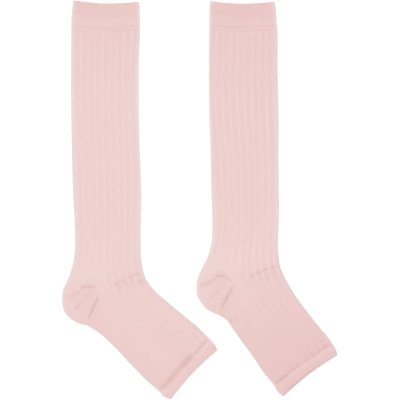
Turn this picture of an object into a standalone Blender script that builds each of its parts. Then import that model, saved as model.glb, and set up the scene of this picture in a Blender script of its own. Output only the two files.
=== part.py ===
"""A pair of long ribbed socks with open toes, lying flat side by side.

Each sock is a knitted tube pressed flat, so its two layers lie on each other and are
folded along the back edge, which runs down the calf, round the heel and along the sole,
and along the front edge, which runs down the shin and along the instep. The pieces are
a doubled cuff, a ribbed leg, a heel pocket, a foot that is ribbed over the instep, and a
doubled band round the toe opening. Tables and constants are in millimetres. A sock's own
tables run from the middle of its leg at the top of the cuff: x to the right, down to the toe.
"""

import math
from dataclasses import dataclass
from typing import Callable, NamedTuple

import bmesh
import bpy
import numpy as np

MM = 0.001

# The knit, lying flat
KNIT_WALL = 1.3
WELT_WALL = 1.6
HOLLOW = 0.4
SEAM_GAP = 0.3

# Ribs, raised on the outer face of the plain wall
RIBS_ROUND = 19
RIB_PITCH_SHARE = 2.0 / RIBS_ROUND
LEG_RIB_HEIGHT = 0.5
INSTEP_RIB_HEIGHT = 0.35
RIBS_START_DOWN = 33.0
RIBS_FULL_DOWN = 42.0
SPLICE_START_DOWN = 300.0
SPLICE_FULL_DOWN = 334.0
PLAIN_BACK_SHARE = 0.38
RIBBED_FRONT_SHARE = 0.52

# The heel pocket stands a little proud in two lobes, one each side of its middle line
HEEL_CROWN = 1.6
HEEL_SUTURE_SHARE = 0.6
CORNER_SHARE = 0.42
CORNER_CLEARANCE = 1.2

# How finely the surfaces are drawn
LINE_SAMPLES = np.linspace(0.0, 1.0, 101)
LONG_STRETCH = 30.0
FOLD_TURNS = (45.0, 0.0, -45.0)
RIB_POINT_PHASES = (-0.36, -0.16, 0.16, 0.36)
PLAIN_SHARES = tuple(step / 8 for step in range(1, 8))
HEEL_SHARES = PLAIN_SHARES
FRONT_SHARES = tuple(CORNER_SHARE + (1.0 - CORNER_SHARE) * step / 6 for step in range(1, 6))
UNDER_SHARES = (*(CORNER_SHARE * share for share in HEEL_SHARES), CORNER_SHARE, *FRONT_SHARES)
FOLD_CLEAR_SHARE = 0.03
SHARP_ANGLE = math.radians(50.0)

COLLECTION_NAME = "pair_of_long_socks"


class Row(NamedTuple):
    """A line across a flattened sock, from its back edge to its front edge."""

    back_x: float
    back_down: float
    front_x: float
    front_down: float
    sag: float = 0.0


class Edge(NamedTuple):
    """A point where a line from the heel's corner meets the folded edge."""

    x: float
    down: float
    sag: float = 0.0


@dataclass(frozen=True)
class Sock:
    """The sizes of one sock: where it lies, and the lines across each of its pieces."""

    name: str
    middle_x: float
    top_y: float
    first_rib_share: float
    heel_corner: Edge
    instep_course: Edge
    cuff: tuple[Row, ...]
    leg: tuple[Row, ...]
    heel: tuple[Edge, ...]
    foot: tuple[Row, ...]
    toe_band: tuple[Row, ...]


@dataclass(frozen=True)
class Finish:
    """The look of one piece of the knit."""

    color: tuple[float, float, float]
    roughness: float


class Column(NamedTuple):
    """A place round the section of a flattened tube.

    On the top and under layers, value is the share of the way from the back edge to the
    front edge. On the back and front folds it is the angle above the horizontal.
    """

    side: str
    value: float
    inside: bool


@dataclass(frozen=True)
class Piece:
    """How one piece of a sock is drawn over its lines."""

    wall: float
    columns: tuple[Column, ...]
    closed: bool
    starts_with_welt: bool = False
    ends_with_welt: bool = False
    crown: Callable = lambda along, share: 0.0
    rib: Callable = lambda down, share: 0.0


SOCKS = (
    Sock(
        name="left",
        middle_x=-118.27,
        top_y=249.28,
        first_rib_share=0.13,
        heel_corner=Edge(-8.5, 362.5),
        instep_course=Edge(47.8, 337.8, 1.5),
        cuff=(
            #   back x, back down, front x, front down, sag
            Row(-39.4, 0.2, 43.8, 2.1, 3.8),
            Row(-41.1, 15.0, 43.6, 15.0, 3.7),
            Row(-41.9, 30.8, 43.8, 30.5, 3.4),
        ),
        leg=(
            Row(-42.0, 36.0, 43.7, 35.8, 3.1),
            Row(-42.1, 43.0, 43.5, 42.8, 2.7),
            Row(-42.4, 75.0, 42.6, 75.0, 1.6),
            Row(-42.4, 110.0, 42.0, 110.0, 0.8),
            Row(-42.0, 150.0, 42.2, 150.0),
            Row(-40.9, 195.0, 43.8, 195.0),
            Row(-39.6, 240.0, 45.2, 240.0),
            Row(-37.4, 285.0, 44.4, 285.0),
            Row(-37.5, 313.0, 44.9, 309.0, 1.0),
            Row(-40.6, 332.5, 45.7, 322.5, 3.5),
            Row(-46.1, 347.5, 46.7, 331.0, 6.5),
        ),
        heel=(
            #    x, down, sag
            Edge(-51.9, 361.2, -5.2),
            Edge(-53.2, 371.2, -3.4),
            Edge(-52.4, 383.1, -1.6),
            Edge(-47.4, 393.0, -0.6),
            Edge(-37.2, 401.1, 0.4),
            Edge(-22.0, 406.1, 1.5),
        ),
        foot=(
            Row(-12.1, 412.5, 52.6, 350.0, -4.0),
            Row(0.0, 421.9, 62.4, 362.5, -1.5),
            Row(16.0, 437.5, 76.5, 375.0),
            Row(33.5, 456.2, 94.4, 390.4),
            Row(51.9, 475.0, 113.5, 406.2),
        ),
        toe_band=(
            Row(68.0, 489.1, 128.1, 421.9),
            Row(73.0, 494.3, 134.6, 428.6, -1.6),
            Row(82.0, 498.5, 140.6, 436.1, -3.2),
        ),
    ),
    Sock(
        name="right",
        middle_x=55.33,
        top_y=249.28,
        first_rib_share=0.094,
        heel_corner=Edge(-14.0, 352.5),
        instep_course=Edge(45.7, 331.6, -1.8),
        cuff=(
            Row(-42.0, 0.6, 38.8, 1.1, 4.5),
            Row(-42.6, 15.0, 40.8, 15.0, 4.0),
            Row(-42.9, 30.8, 41.8, 30.5, 3.4),
        ),
        leg=(
            Row(-43.1, 36.0, 42.1, 35.8, 3.1),
            Row(-43.3, 43.0, 42.3, 42.8, 2.7),
            Row(-43.6, 75.0, 42.5, 75.0, 1.6),
            Row(-43.5, 110.0, 42.9, 110.0, 0.8),
            Row(-42.6, 150.0, 43.5, 150.0),
            Row(-41.7, 195.0, 43.4, 195.0),
            Row(-40.5, 240.0, 43.9, 240.0),
            Row(-39.2, 280.0, 43.8, 278.0),
            Row(-40.9, 302.5, 42.8, 298.5, 1.0),
            Row(-46.2, 321.5, 43.4, 312.5, 3.5),
            Row(-53.0, 336.5, 44.4, 322.5, 6.0),
        ),
        heel=(
            Edge(-57.9, 348.8, -5.2),
            Edge(-59.0, 357.5, -3.4),
            Edge(-57.9, 368.8, -1.6),
            Edge(-52.6, 378.8, -0.6),
            Edge(-43.9, 387.5, 0.4),
            Edge(-30.1, 393.8, 1.5),
        ),
        foot=(
            Row(-21.1, 400.0, 50.4, 344.0, -4.0),
            Row(-12.1, 412.5, 58.8, 360.0, -1.5),
            Row(-0.4, 428.8, 70.4, 377.5),
            Row(12.1, 446.2, 83.1, 393.8),
            Row(24.8, 465.0, 96.1, 410.0),
        ),
        toe_band=(
            Row(36.9, 480.2, 109.4, 428.8, -2.0),
            Row(40.9, 487.5, 113.6, 435.6, -2.2),
            Row(49.0, 494.8, 116.5, 442.5, -2.3),
        ),
    ),
)

CUFF_FINISH = Finish(color=(0.815, 0.585, 0.565), roughness=0.92)
LEG_FINISH = Finish(color=(0.850, 0.640, 0.620), roughness=0.90)
HEEL_FINISH = Finish(color=(0.830, 0.615, 0.595), roughness=0.90)
FOOT_FINISH = Finish(color=(0.830, 0.605, 0.590), roughness=0.90)
TOE_FINISH = Finish(color=(0.800, 0.570, 0.555), roughness=0.92)


def eased(value, low, high):
    """Rises smoothly from 0 at low to 1 at high."""
    share = np.clip((value - low) / (high - low), 0.0, 1.0)
    return share * share * (3.0 - 2.0 * share)


def row_points(row, shares):
    """Plan points along a row, at shares of the way from its back edge to its front edge."""
    back = np.array((row.back_x, -row.back_down))
    span = np.array((row.front_x, -row.front_down)) - back
    toeward = np.array((span[1], -span[0])) / np.linalg.norm(span)
    bulge = row.sag * 4.0 * shares * (1.0 - shares)
    return back + shares[:, None] * span + bulge[:, None] * toeward


def heel_row(sock, edge):
    """The row from a point on the heel's folded edge to the corner of the heel."""
    return Row(edge.x, edge.down, sock.heel_corner.x, sock.heel_corner.down, edge.sag)


def course_line(sock, edge):
    """The line where leg and foot meet: along the heel to its corner, then over the instep."""
    end = sock.instep_course
    instep = Row(sock.heel_corner.x, sock.heel_corner.down, end.x, end.down, end.sag)
    heel_part = LINE_SAMPLES[LINE_SAMPLES < CORNER_SHARE] / CORNER_SHARE
    front_part = (LINE_SAMPLES[LINE_SAMPLES >= CORNER_SHARE] - CORNER_SHARE) / (1.0 - CORNER_SHARE)
    return np.vstack((row_points(heel_row(sock, edge), heel_part), row_points(instep, front_part)))


def lines_of(rows):
    """The sampled plan line of each row."""
    return [row_points(row, LINE_SAMPLES) for row in rows]


def smooth_lines(lines):
    """Adds a line in each short stretch, on smooth curves through the lines from cuff to toe.

    The long stretches of the leg are straight enough without one.
    """
    lines = np.array(lines)
    advance = np.linalg.norm(np.diff(lines, axis=0), axis=2).mean(axis=1)
    knots = np.concatenate(((0.0,), np.cumsum(advance)))
    slopes = np.gradient(lines, knots, axis=0)
    drawn = []
    for index, width in enumerate(advance):
        for t in (0.0,) if width > LONG_STRETCH else (0.0, 0.5):
            drawn.append(
                (2 * t**3 - 3 * t**2 + 1) * lines[index]
                + (t**3 - 2 * t**2 + t) * width * slopes[index]
                + (3 * t**2 - 2 * t**3) * lines[index + 1]
                + (t**3 - t**2) * width * slopes[index + 1]
            )
    drawn.append(lines[-1])
    return np.array(drawn)


def drawn_back(lines, start, end):
    """Moves the first and last line towards the middle of the piece by the given lengths."""
    moved = lines.copy()
    for index, neighbour, length in ((0, 1, start), (-1, -2, end)):
        way = lines[neighbour] - lines[index]
        reach = np.linalg.norm(way, axis=1, keepdims=True)
        moved[index] += way * (length / np.maximum(reach, length))
    return moved


def rib_height(share, first_share):
    """How high the ribs stand, from 0 to 1, across the flat width of a sock."""
    wave = math.cos(2.0 * math.pi * (share - first_share) / RIB_PITCH_SHARE)
    return min(max(0.5 + 0.9 * wave, 0.0), 1.0)


def rib_shares(first_share):
    """The shares of the width where a rib's face changes slope, and the heel's corner."""
    shares = {CORNER_SHARE}
    for rib in range(-1, RIBS_ROUND):
        shares.update(first_share + (rib + phase) * RIB_PITCH_SHARE for phase in RIB_POINT_PHASES)
    return sorted(share for share in shares if FOLD_CLEAR_SHARE < share < 1.0 - FOLD_CLEAR_SHARE)


def fold_columns(side, turns):
    """The columns round a folded edge, between the two layers."""
    return [Column(side, turn, turn == 0.0) for turn in turns]


def tube_columns(top_shares, under_shares, inside_every):
    """Columns all round a flattened tube, over the top layer from front to back and on."""
    kept = (0.0, CORNER_SHARE, 1.0)
    columns = []
    for index, share in enumerate(sorted((0.0, *top_shares, 1.0), reverse=True)):
        columns.append(Column("top", share, share in kept or index % inside_every == 0))
    columns += fold_columns("back", FOLD_TURNS)
    columns += [Column("under", share, True) for share in (0.0, *under_shares, 1.0)]
    columns += fold_columns("front", FOLD_TURNS[::-1])
    return tuple(columns)


def pocket_columns():
    """Columns round the heel: over its top layer, round the folded edge and back beneath."""
    across = (0.0, *HEEL_SHARES, 1.0)
    columns = [Column("top", share, True) for share in reversed(across)]
    columns += fold_columns("back", FOLD_TURNS)
    columns += [Column("under", share, True) for share in across]
    return tuple(columns)


def heel_crown(along, share):
    """How far the heel's top layer stands proud, in two lobes beside its middle line."""
    if along < HEEL_SUTURE_SHARE:
        lobe = math.sin(math.pi * along / HEEL_SUTURE_SHARE)
    else:
        lobe = math.sin(math.pi * (along - HEEL_SUTURE_SHARE) / (1.0 - HEEL_SUTURE_SHARE))
    return HEEL_CROWN * lobe * math.sin(math.pi * share)


def leg_rib(sock):
    """The leg's ribs: they start below the cuff, and die out in the plain splice over the heel."""

    def height(down, share):
        below_cuff = eased(down, RIBS_START_DOWN, RIBS_FULL_DOWN)
        splice = eased(down, SPLICE_START_DOWN, SPLICE_FULL_DOWN)
        plain_back = splice * (1.0 - eased(share, PLAIN_BACK_SHARE, RIBBED_FRONT_SHARE))
        return LEG_RIB_HEIGHT * below_cuff * (1.0 - plain_back) * rib_height(share, sock.first_rib_share)

    return height


def instep_rib(sock):
    """The foot's ribs: they run on over the instep only, and the sole is plain."""

    def height(down, share):
        ribbed = eased(share, PLAIN_BACK_SHARE, RIBBED_FRONT_SHARE)
        return INSTEP_RIB_HEIGHT * ribbed * rib_height(share, sock.first_rib_share)

    return height


@dataclass(frozen=True)
class Section:
    """The section of a flattened tube, stood on a line across the sock."""

    piece: Piece
    line: np.ndarray
    along: float

    @property
    def width(self):
        """The length of the line, from folded edge to folded edge."""
        return np.linalg.norm(np.diff(self.line, axis=0), axis=1).sum()

    @property
    def middle_height(self):
        """The height of the middle of the hollow, which is also the folds' outer radius."""
        return self.piece.wall + HOLLOW / 2

    def plan(self, share):
        """The plan point at a share of the line."""
        return [np.interp(share, LINE_SAMPLES, self.line[:, axis]) for axis in (0, 1)]

    def down(self, share):
        """How far down the sock a share of the line lies."""
        return -self.plan(share)[1]

    def layer_point(self, column, outer):
        """A point on the flat top or under layer, between the folds."""
        fold_share = self.middle_height / self.width
        front_limit = 1.0 - (fold_share if self.piece.closed else CORNER_CLEARANCE / self.width)
        share = min(max(column.value, fold_share), front_limit)
        half = self.middle_height if outer else HOLLOW / 2
        if column.side == "under":
            return (*self.plan(share), self.middle_height - half)
        rib = self.piece.rib(self.down(share), share) if outer else 0.0
        return (*self.plan(share), self.middle_height + half + self.piece.crown(self.along, share) + rib)

    def fold_point(self, column, outer):
        """A point on the round of the back or the front edge."""
        at_back = column.side == "back"
        turn = math.radians(column.value)
        radius = self.middle_height if outer else HOLLOW / 2
        if outer:
            round_fold = self.middle_height * (1.0 + turn - math.pi / 2) / self.width
            fade = (1.0 + math.sin(turn)) / 2
            edge_share = 0.0 if at_back else 1.0
            radius += fade * self.piece.rib(self.down(edge_share), abs(edge_share - round_fold))
        share = max((self.middle_height - radius * math.cos(turn)) / self.width, 0.0)
        return (*self.plan(share if at_back else 1.0 - share), self.middle_height + radius * math.sin(turn))

    def points(self, outer):
        """A point of the outer or the inner face for each column, in metres."""
        found = []
        for column in self.piece.columns:
            point = self.layer_point if column.side in ("top", "under") else self.fold_point
            found.append(np.array(point(column, outer)) * MM)
        return found


def sections_of(piece, lines):
    """A section on each line of a piece."""
    return [Section(piece, line, index / (len(lines) - 1)) for index, line in enumerate(lines)]


def add_strip(bm, first, second, closed):
    """Joins two equal rows of vertices with quads."""
    count = len(first)
    for index in range(count if closed else count - 1):
        after = (index + 1) % count
        bm.faces.new((first[index], first[after], second[after], second[index]))


def add_rim(bm, fine, coarse, picks, closed):
    """Joins a row of vertices to the ones of another row that stand at the picked columns."""
    count = len(fine)
    for index in range(len(picks) if closed else len(picks) - 1):
        after = (index + 1) % len(picks)
        last = picks[after] if after else picks[after] + count
        for column in range(picks[index], last):
            bm.faces.new((coarse[index], fine[column % count], fine[(column + 1) % count]))
        bm.faces.new((coarse[index], fine[last % count], coarse[after]))


def wall_mesh(name, lines, piece):
    """A closed wall over the given lines: outer face, plain inner face, rims and ends."""
    start = piece.wall / 2 if piece.starts_with_welt else SEAM_GAP / 2
    end = piece.wall / 2 if piece.ends_with_welt else SEAM_GAP / 2
    full = smooth_lines(lines)
    sections = sections_of(piece, drawn_back(full, start, end))
    picks = [index for index, column in enumerate(piece.columns) if column.inside]
    bm = bmesh.new()
    outer = [[bm.verts.new(point) for point in section.points(True)] for section in sections]
    inner = []
    for section in sections:
        points = section.points(False)
        inner.append([bm.verts.new(points[pick]) for pick in picks])
    for face in (outer, inner):
        for first, second in zip(face, face[1:]):
            add_strip(bm, first, second, piece.closed)
    for end_index, is_welt in ((0, piece.starts_with_welt), (-1, piece.ends_with_welt)):
        rim = outer[end_index]
        if is_welt:
            edge = sections_of(piece, full)[end_index]
            rim = [bm.verts.new((far + near) / 2) for far, near in zip(edge.points(True), edge.points(False))]
            add_strip(bm, outer[end_index], rim, piece.closed)
        add_rim(bm, rim, inner[end_index], picks, piece.closed)
    if not piece.closed:
        for column in (0, -1):
            add_strip(bm, [row[column] for row in outer], [row[column] for row in inner], False)
    bmesh.ops.recalc_face_normals(bm, faces=bm.faces)
    mesh = bpy.data.meshes.new(name)
    bm.to_mesh(mesh)
    bm.free()
    mesh.shade_smooth()
    mesh.set_sharp_from_angle(angle=SHARP_ANGLE)
    return mesh


def knit_material(name, finish):
    """A matt knit of one colour."""
    material = bpy.data.materials.new(name)
    material.use_nodes = True
    shader = material.node_tree.nodes["Principled BSDF"]
    shader.inputs["Base Color"].default_value = (*finish.color, 1.0)
    shader.inputs["Roughness"].default_value = finish.roughness
    shader.inputs["Metallic"].default_value = 0.0
    return material


def add_piece(sock, part, lines, piece, finish, parent, collection):
    """Makes one piece of a sock and hangs it on the sock's empty."""
    name = f"{sock.name}_{part}"
    piece_object = bpy.data.objects.new(name, wall_mesh(name, lines, piece))
    piece_object.data.materials.append(knit_material(name, finish))
    piece_object.parent = parent
    collection.objects.link(piece_object)


def build_cuff(sock, parent, collection):
    """The doubled band at the top, plain, with its folded edge round the mouth."""
    columns = tube_columns(PLAIN_SHARES, PLAIN_SHARES, 1)
    piece = Piece(WELT_WALL, columns, closed=True, starts_with_welt=True)
    add_piece(sock, "cuff", lines_of(sock.cuff), piece, CUFF_FINISH, parent, collection)


def build_leg(sock, parent, collection):
    """The ribbed tube from the cuff to the heel and the instep."""
    columns = tube_columns(rib_shares(sock.first_rib_share), UNDER_SHARES, 2)
    piece = Piece(KNIT_WALL, columns, closed=True, rib=leg_rib(sock))
    rows = (sock.cuff[-1], *sock.leg)
    lines = [*lines_of(rows), course_line(sock, sock.heel[0])]
    add_piece(sock, "leg", lines, piece, LEG_FINISH, parent, collection)


def build_heel(sock, parent, collection):
    """The pocket folded round the heel, between the leg and the sole."""
    piece = Piece(KNIT_WALL, pocket_columns(), closed=False, crown=heel_crown)
    rows = [heel_row(sock, edge) for edge in sock.heel]
    add_piece(sock, "heel", lines_of(rows), piece, HEEL_FINISH, parent, collection)


def build_foot(sock, parent, collection):
    """The tube of the foot, plain under the sole and ribbed over the instep."""
    columns = tube_columns(rib_shares(sock.first_rib_share), UNDER_SHARES, 2)
    piece = Piece(KNIT_WALL, columns, closed=True, rib=instep_rib(sock))
    rows = (*sock.foot, sock.toe_band[0])
    lines = [course_line(sock, sock.heel[-1]), *lines_of(rows)]
    add_piece(sock, "foot", lines, piece, FOOT_FINISH, parent, collection)


def build_toe_band(sock, parent, collection):
    """The doubled band round the toe opening, with its folded edge at the end."""
    columns = tube_columns(PLAIN_SHARES, PLAIN_SHARES, 1)
    piece = Piece(WELT_WALL, columns, closed=True, ends_with_welt=True)
    add_piece(sock, "toe_band", lines_of(sock.toe_band), piece, TOE_FINISH, parent, collection)


def build_sock(sock, collection):
    """Makes every piece of one sock, on an empty at the top of its leg."""
    place = bpy.data.objects.new(f"{sock.name}_sock", None)
    place.location = (sock.middle_x * MM, sock.top_y * MM, 0.0)
    collection.objects.link(place)
    for build in (build_cuff, build_leg, build_heel, build_foot, build_toe_band):
        build(sock, place, collection)


def main():
    """Clears the scene and makes both socks."""
    for old in list(bpy.data.objects):
        bpy.data.objects.remove(old, do_unlink=True)
    collection = bpy.data.collections.new(COLLECTION_NAME)
    bpy.context.scene.collection.children.link(collection)
    for sock in SOCKS:
        build_sock(sock, collection)


if __name__ == "__main__":
    main()
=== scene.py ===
"""A pair of long ribbed socks with open toes, in pale pink cotton, lying flat side by side.

Each sock is a knitted tube pressed flat, so that it has a top layer and an under layer, and
is folded along the calf and the sole at its back edge and along the shin and the instep at
its front edge. The cuff and the toe band are doubled knit. The body between them is one
knit: the ribbed leg, the plain heel pocket, and the foot, which is ribbed over the instep.
Tables are in millimetres, from the middle of the leg at the top of the cuff: x to the right,
and down to the toe.
"""

import logging
import math
from collections.abc import Callable
from dataclasses import dataclass, field
from enum import Enum

import bmesh
import bpy
import numpy as np
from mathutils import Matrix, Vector

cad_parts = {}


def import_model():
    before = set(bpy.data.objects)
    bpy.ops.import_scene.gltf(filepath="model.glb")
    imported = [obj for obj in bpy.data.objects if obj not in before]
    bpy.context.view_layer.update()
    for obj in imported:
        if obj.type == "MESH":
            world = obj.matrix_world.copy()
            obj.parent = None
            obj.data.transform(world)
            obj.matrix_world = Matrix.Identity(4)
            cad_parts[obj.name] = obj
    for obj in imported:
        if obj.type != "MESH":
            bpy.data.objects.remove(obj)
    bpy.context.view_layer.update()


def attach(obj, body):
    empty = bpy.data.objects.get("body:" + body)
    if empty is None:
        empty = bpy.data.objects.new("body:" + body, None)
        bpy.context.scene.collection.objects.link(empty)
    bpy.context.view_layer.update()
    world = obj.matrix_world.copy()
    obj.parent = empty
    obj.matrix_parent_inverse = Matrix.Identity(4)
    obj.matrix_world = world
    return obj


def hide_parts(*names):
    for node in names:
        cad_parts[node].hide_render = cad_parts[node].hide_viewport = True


log = logging.getLogger("long_socks")

Array = np.ndarray
Socket = bpy.types.NodeSocket
Color = tuple[float, float, float, float]

MM = 0.001

# The knit, lying flat
BODY_WALL = 1.3
BAND_WALL = 1.6
HOLLOW = 0.4
TUCK = 1.5
TUCK_DROP = 0.2

# The ribs
RIBS_ROUND = 19
RIB_PITCH_SHARE = 2.0 / RIBS_ROUND
LEG_RIB_HEIGHT = 0.5
INSTEP_RIB_HEIGHT = 0.42
ANKLE_RIB_HEIGHT = 0.6
UNDER_RIB_SHARE = 0.6
RIB_SPAN = 86.5
FRONT_SHARES = (0.43, 0.56)
LEG_RIB_SHARPNESS = 1.7
INSTEP_RIB_SHARPNESS = 2.2
RIB_START = (4.5, 11.0)
SPLICE_START = (13.0, 43.0)
ANKLE_REACH = 45.0
INSTEP_START = (16.0, 60.0)
INSTEP_END = (4.0, 30.0)
INSTEP_STOP = (-0.5, 2.5)
MIDFOOT_RIB_SHARE = 0.65

# How much the ribs differ from each other, and each one along its length
RIB_VARIETY = 0.22
RIB_VARIETY_SQUARE = 2.4
RIB_VARIETY_STEP = 1.3
RIB_SWELL = 0.18
RIB_SWELL_LENGTH = 31.0
RIB_SWELL_STEP = 2.1

# The stitches
WALES_IN_RIB = 7
COURSE_HEIGHT = 1.0
WALE_WIDTH = 1.3

# Where the leg's look gives way to the foot's, by the reach along the foot
ANKLE_REACHES = (-25.0, 20.0)

# How far the sheen and shade painted along a fold and the shadow painted on a lip reach, and how strong they
# are
LEG_FOLD_REACH = 3.4
FOOT_FOLD_REACH = 2.2
FOOT_SHEEN_LOSS = 0.1
LEG_SHADE_SHARE = 0.2
SHADE_SPREAD = 1.35
LIP_REACH = 1.6
LIP_END_SHARE = 0.3
LIP_LEAN = 0.65

# Where the heel is pinkest, and how far that reaches
HEEL_BLUSH_SHARE = 0.6
HEEL_BLUSH_REACH = 24.0

# The creases: how they come and go along their lines, and how they show on the under layer
CREASE_RIPPLES = (2.3, 5.1)
CREASE_FALLOFF = 2.0
BROAD_POWER = 4.0
UNDER_CREASE_SHARE = 0.4

# The ridge below the cuff, and the bands' mouths
RIDGE_HEIGHT = 0.45
RIDGE_PLACE = 1.8
RIDGE_REACH = 1.7
MOUTH_ROUNDNESS = 0.8
MOUTH_UNEVENNESS = 0.35
MOUTH_WAVE = (7.0, 0.6)
HEM_SHARES = (0.4, 0.8)

# How finely the surfaces are drawn
LINE_SAMPLES = np.linspace(0.0, 1.0, 101)
CORNER_SHARE = 0.42
CORNER_SAMPLE = 42
TOP_STEP_SHARE = 0.0105
UNDER_STEP_SHARE = 0.0150
EDGE_STEP = 0.6
STEP_GROWTH = 0.07
BAND_STEP = 1.3
LEG_STEP = 2.2
FOOT_STEP = 1.8
HEEL_LOOPS = 64
INNER_BAND_LOOPS = 8
INNER_LEG_LOOPS = 40
INNER_FOOT_LOOPS = 20
INNER_HEEL_LOOPS = 12
STEEPEST_FOLD_TURN = 1.5
FOLD_TURNS = np.radians((-66.0, -44.0, -22.0, 0.0, 22.0, 44.0, 66.0))
RIM_TURNS = np.radians((60.0, 30.0, 0.0, -30.0, -60.0))
SHARE_SLACK = 1.0e-9
WELD_LENGTH = 1.0e-7


def placed(name: str, data: bpy.types.ID) -> bpy.types.Object:
    """Makes an object and links it to the scene.

    Args:
        name: The object's name.
        data: Its mesh, light or camera.

    Returns:
        The object.
    """
    made = bpy.data.objects.new(name, data)
    bpy.context.scene.collection.objects.link(made)
    return made


def eased(value: Array | float, low: float, high: float) -> Array:
    """Rises smoothly from 0 at low to 1 at high."""
    share = np.clip((np.asarray(value) - low) / (high - low), 0.0, 1.0)
    return share * share * (3.0 - 2.0 * share)


@dataclass(frozen=True)
class Wave:
    """A slow wave in the knit: its height, and how far across and down it takes for a radian."""

    height: float
    across: float
    down: float

    def at(self, spots: Array) -> Array:
        """The wave's height at some spots."""
        return self.height * np.sin(spots[..., 0] / self.across + spots[..., 1] / self.down)


SWELL = Wave(0.10, 17.0, 61.0)
SWELL_BEAT = (29.0, 0.7)
RIPPLE = Wave(0.06, 9.0, -23.0)
BAND_WAVES = (Wave(0.05, 7.0, 13.0), Wave(0.05, 15.0, -9.0))


class Part(Enum):
    """The pieces of knit that a sock is made of."""

    CUFF = "cuff"
    BODY = "body"
    TOE_BAND = "toe_band"


@dataclass(frozen=True)
class Row:
    """A line across a flattened sock, from its back edge to its front edge."""

    back_x: float
    back_down: float
    front_x: float
    front_down: float
    sag: float = 0.0

    def points(self, shares: Array) -> Array:
        """Plan points on the line.

        Args:
            shares: Shares of the way from the back edge to the front edge.

        Returns:
            An x and a down for each share.
        """
        back = np.array((self.back_x, self.back_down))
        span = np.array((self.front_x, self.front_down)) - back
        toeward = np.array((-span[1], span[0])) / np.linalg.norm(span)
        bulge = self.sag * 4.0 * shares * (1.0 - shares)
        return back + shares[:, None] * span + bulge[:, None] * toeward


@dataclass(frozen=True)
class Edge:
    """A point where a line from the heel's corner meets a folded edge."""

    x: float
    down: float
    sag: float = 0.0


@dataclass(frozen=True)
class Crease:
    """A soft trough or ridge along a bent line.

    rise is its height, below zero for a trough, and reach the distance from the line at which
    it has nearly died out. It fades over a share of its length at each end. tint is the shade
    painted into the yarn's colour along it, from 0 to 1, within painted_shade_reach of the line, and a
    broad one is as deep nearly all the way across. A crease between the ribs leaves their
    crests alone. uneven is how much it comes and goes along the line, from 0 to 1.
    """

    rise: float
    reach: float
    points: tuple[tuple[float, float], ...]
    painted_shade: float = 0.0
    painted_shade_reach: float = 1.0
    fade: tuple[float, float] = (0.3, 0.3)
    broad: bool = False
    between_ribs: bool = False
    uneven: float = 0.0

    def nearest(self, spots: Array) -> tuple[Array, Array]:
        """How far spots are from the line.

        Args:
            spots: An x and a down for each spot, in the last axis.

        Returns:
            The distance of each spot from the line, and the share of the line's length at
            which its nearest point lies.
        """
        knots = np.array(self.points)
        lengths = np.linalg.norm(np.diff(knots, axis=0), axis=1)
        passed = np.concatenate(((0.0,), np.cumsum(lengths)))
        distance = np.full(spots.shape[:-1], np.inf)
        share = np.zeros(spots.shape[:-1])
        for start, end, length, before in zip(knots, knots[1:], lengths, passed):
            way = (end - start) / length
            along = np.clip((spots - start) @ way, 0.0, length)
            away = np.linalg.norm(spots - start - along[..., None] * way, axis=-1)
            nearer = away < distance
            distance = np.where(nearer, away, distance)
            share = np.where(nearer, (before + along) / passed[-1], share)
        return distance, share

    def relief(self, spots: Array) -> tuple[Array, Array]:
        """The crease's height and tint at spots on the knit.

        Args:
            spots: An x and a down for each spot, in the last axis.

        Returns:
            The height in millimetres and the painted shade, for each spot.
        """
        distance, share = self.nearest(spots)
        strength = np.ones(share.shape)
        for way_in, length in ((share, self.fade[0]), (1.0 - share, self.fade[1])):
            if length > 0.0:
                strength = strength * eased(way_in, 0.0, length)
        along = share * np.linalg.norm(np.diff(np.array(self.points), axis=0), axis=1).sum()
        fine, coarse = CREASE_RIPPLES
        ripple = np.sin(along / fine + self.points[0][1]) + np.sin(along / coarse + self.points[0][0])
        strength = strength * (1.0 - self.uneven * (0.5 + 0.25 * ripple))
        height = self.rise * strength * np.exp(-((distance / self.reach) ** 2) * CREASE_FALLOFF)
        power = BROAD_POWER if self.broad else 2.0
        painted_shade = self.painted_shade * strength * np.exp(-((distance / self.painted_shade_reach) ** power) * CREASE_FALLOFF)
        return height, painted_shade


@dataclass(frozen=True)
class RibRun:
    """How the ribs wander on their way down a sock, and where they are strong.

    At each of the downs, back_shifts and front_shifts say how far the ribs at the two folded
    edges lie to the right of an even spacing, and strengths how strong the ribs are there.
    """

    downs: tuple[float, ...]
    back_shifts: tuple[float, ...]
    front_shifts: tuple[float, ...]
    strengths: tuple[float, ...]

    def shift(self, down: Array, share: Array) -> Array:
        """How far the ribs have moved over, at spots this far down and across the sock."""
        back = np.interp(down, self.downs, self.back_shifts)
        return back + (np.interp(down, self.downs, self.front_shifts) - back) * share

    def strength(self, down: Array) -> Array:
        """How strong the ribs are at some places down the sock."""
        return np.interp(down, self.downs, self.strengths)


@dataclass(frozen=True)
class Blush:
    """How deep the pink is along a sock, from 0 for the palest yarn to 1 for the deepest.

    leg_downs and leg_values give it down the leg, foot_reaches and foot_values along the foot
    from the heel's corner, sole how much deeper it is at the sole than at the instep, and heel
    how much deeper it is in the heel's middle. lip is how dark the toe's lip is.
    """

    leg_downs: tuple[float, ...]
    leg_values: tuple[float, ...]
    foot_reaches: tuple[float, ...]
    foot_values: tuple[float, ...]
    sole: float
    heel: float
    cuff: float
    toe_band: float
    # how much shadow is painted on the toe's lip
    lip: float


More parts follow.
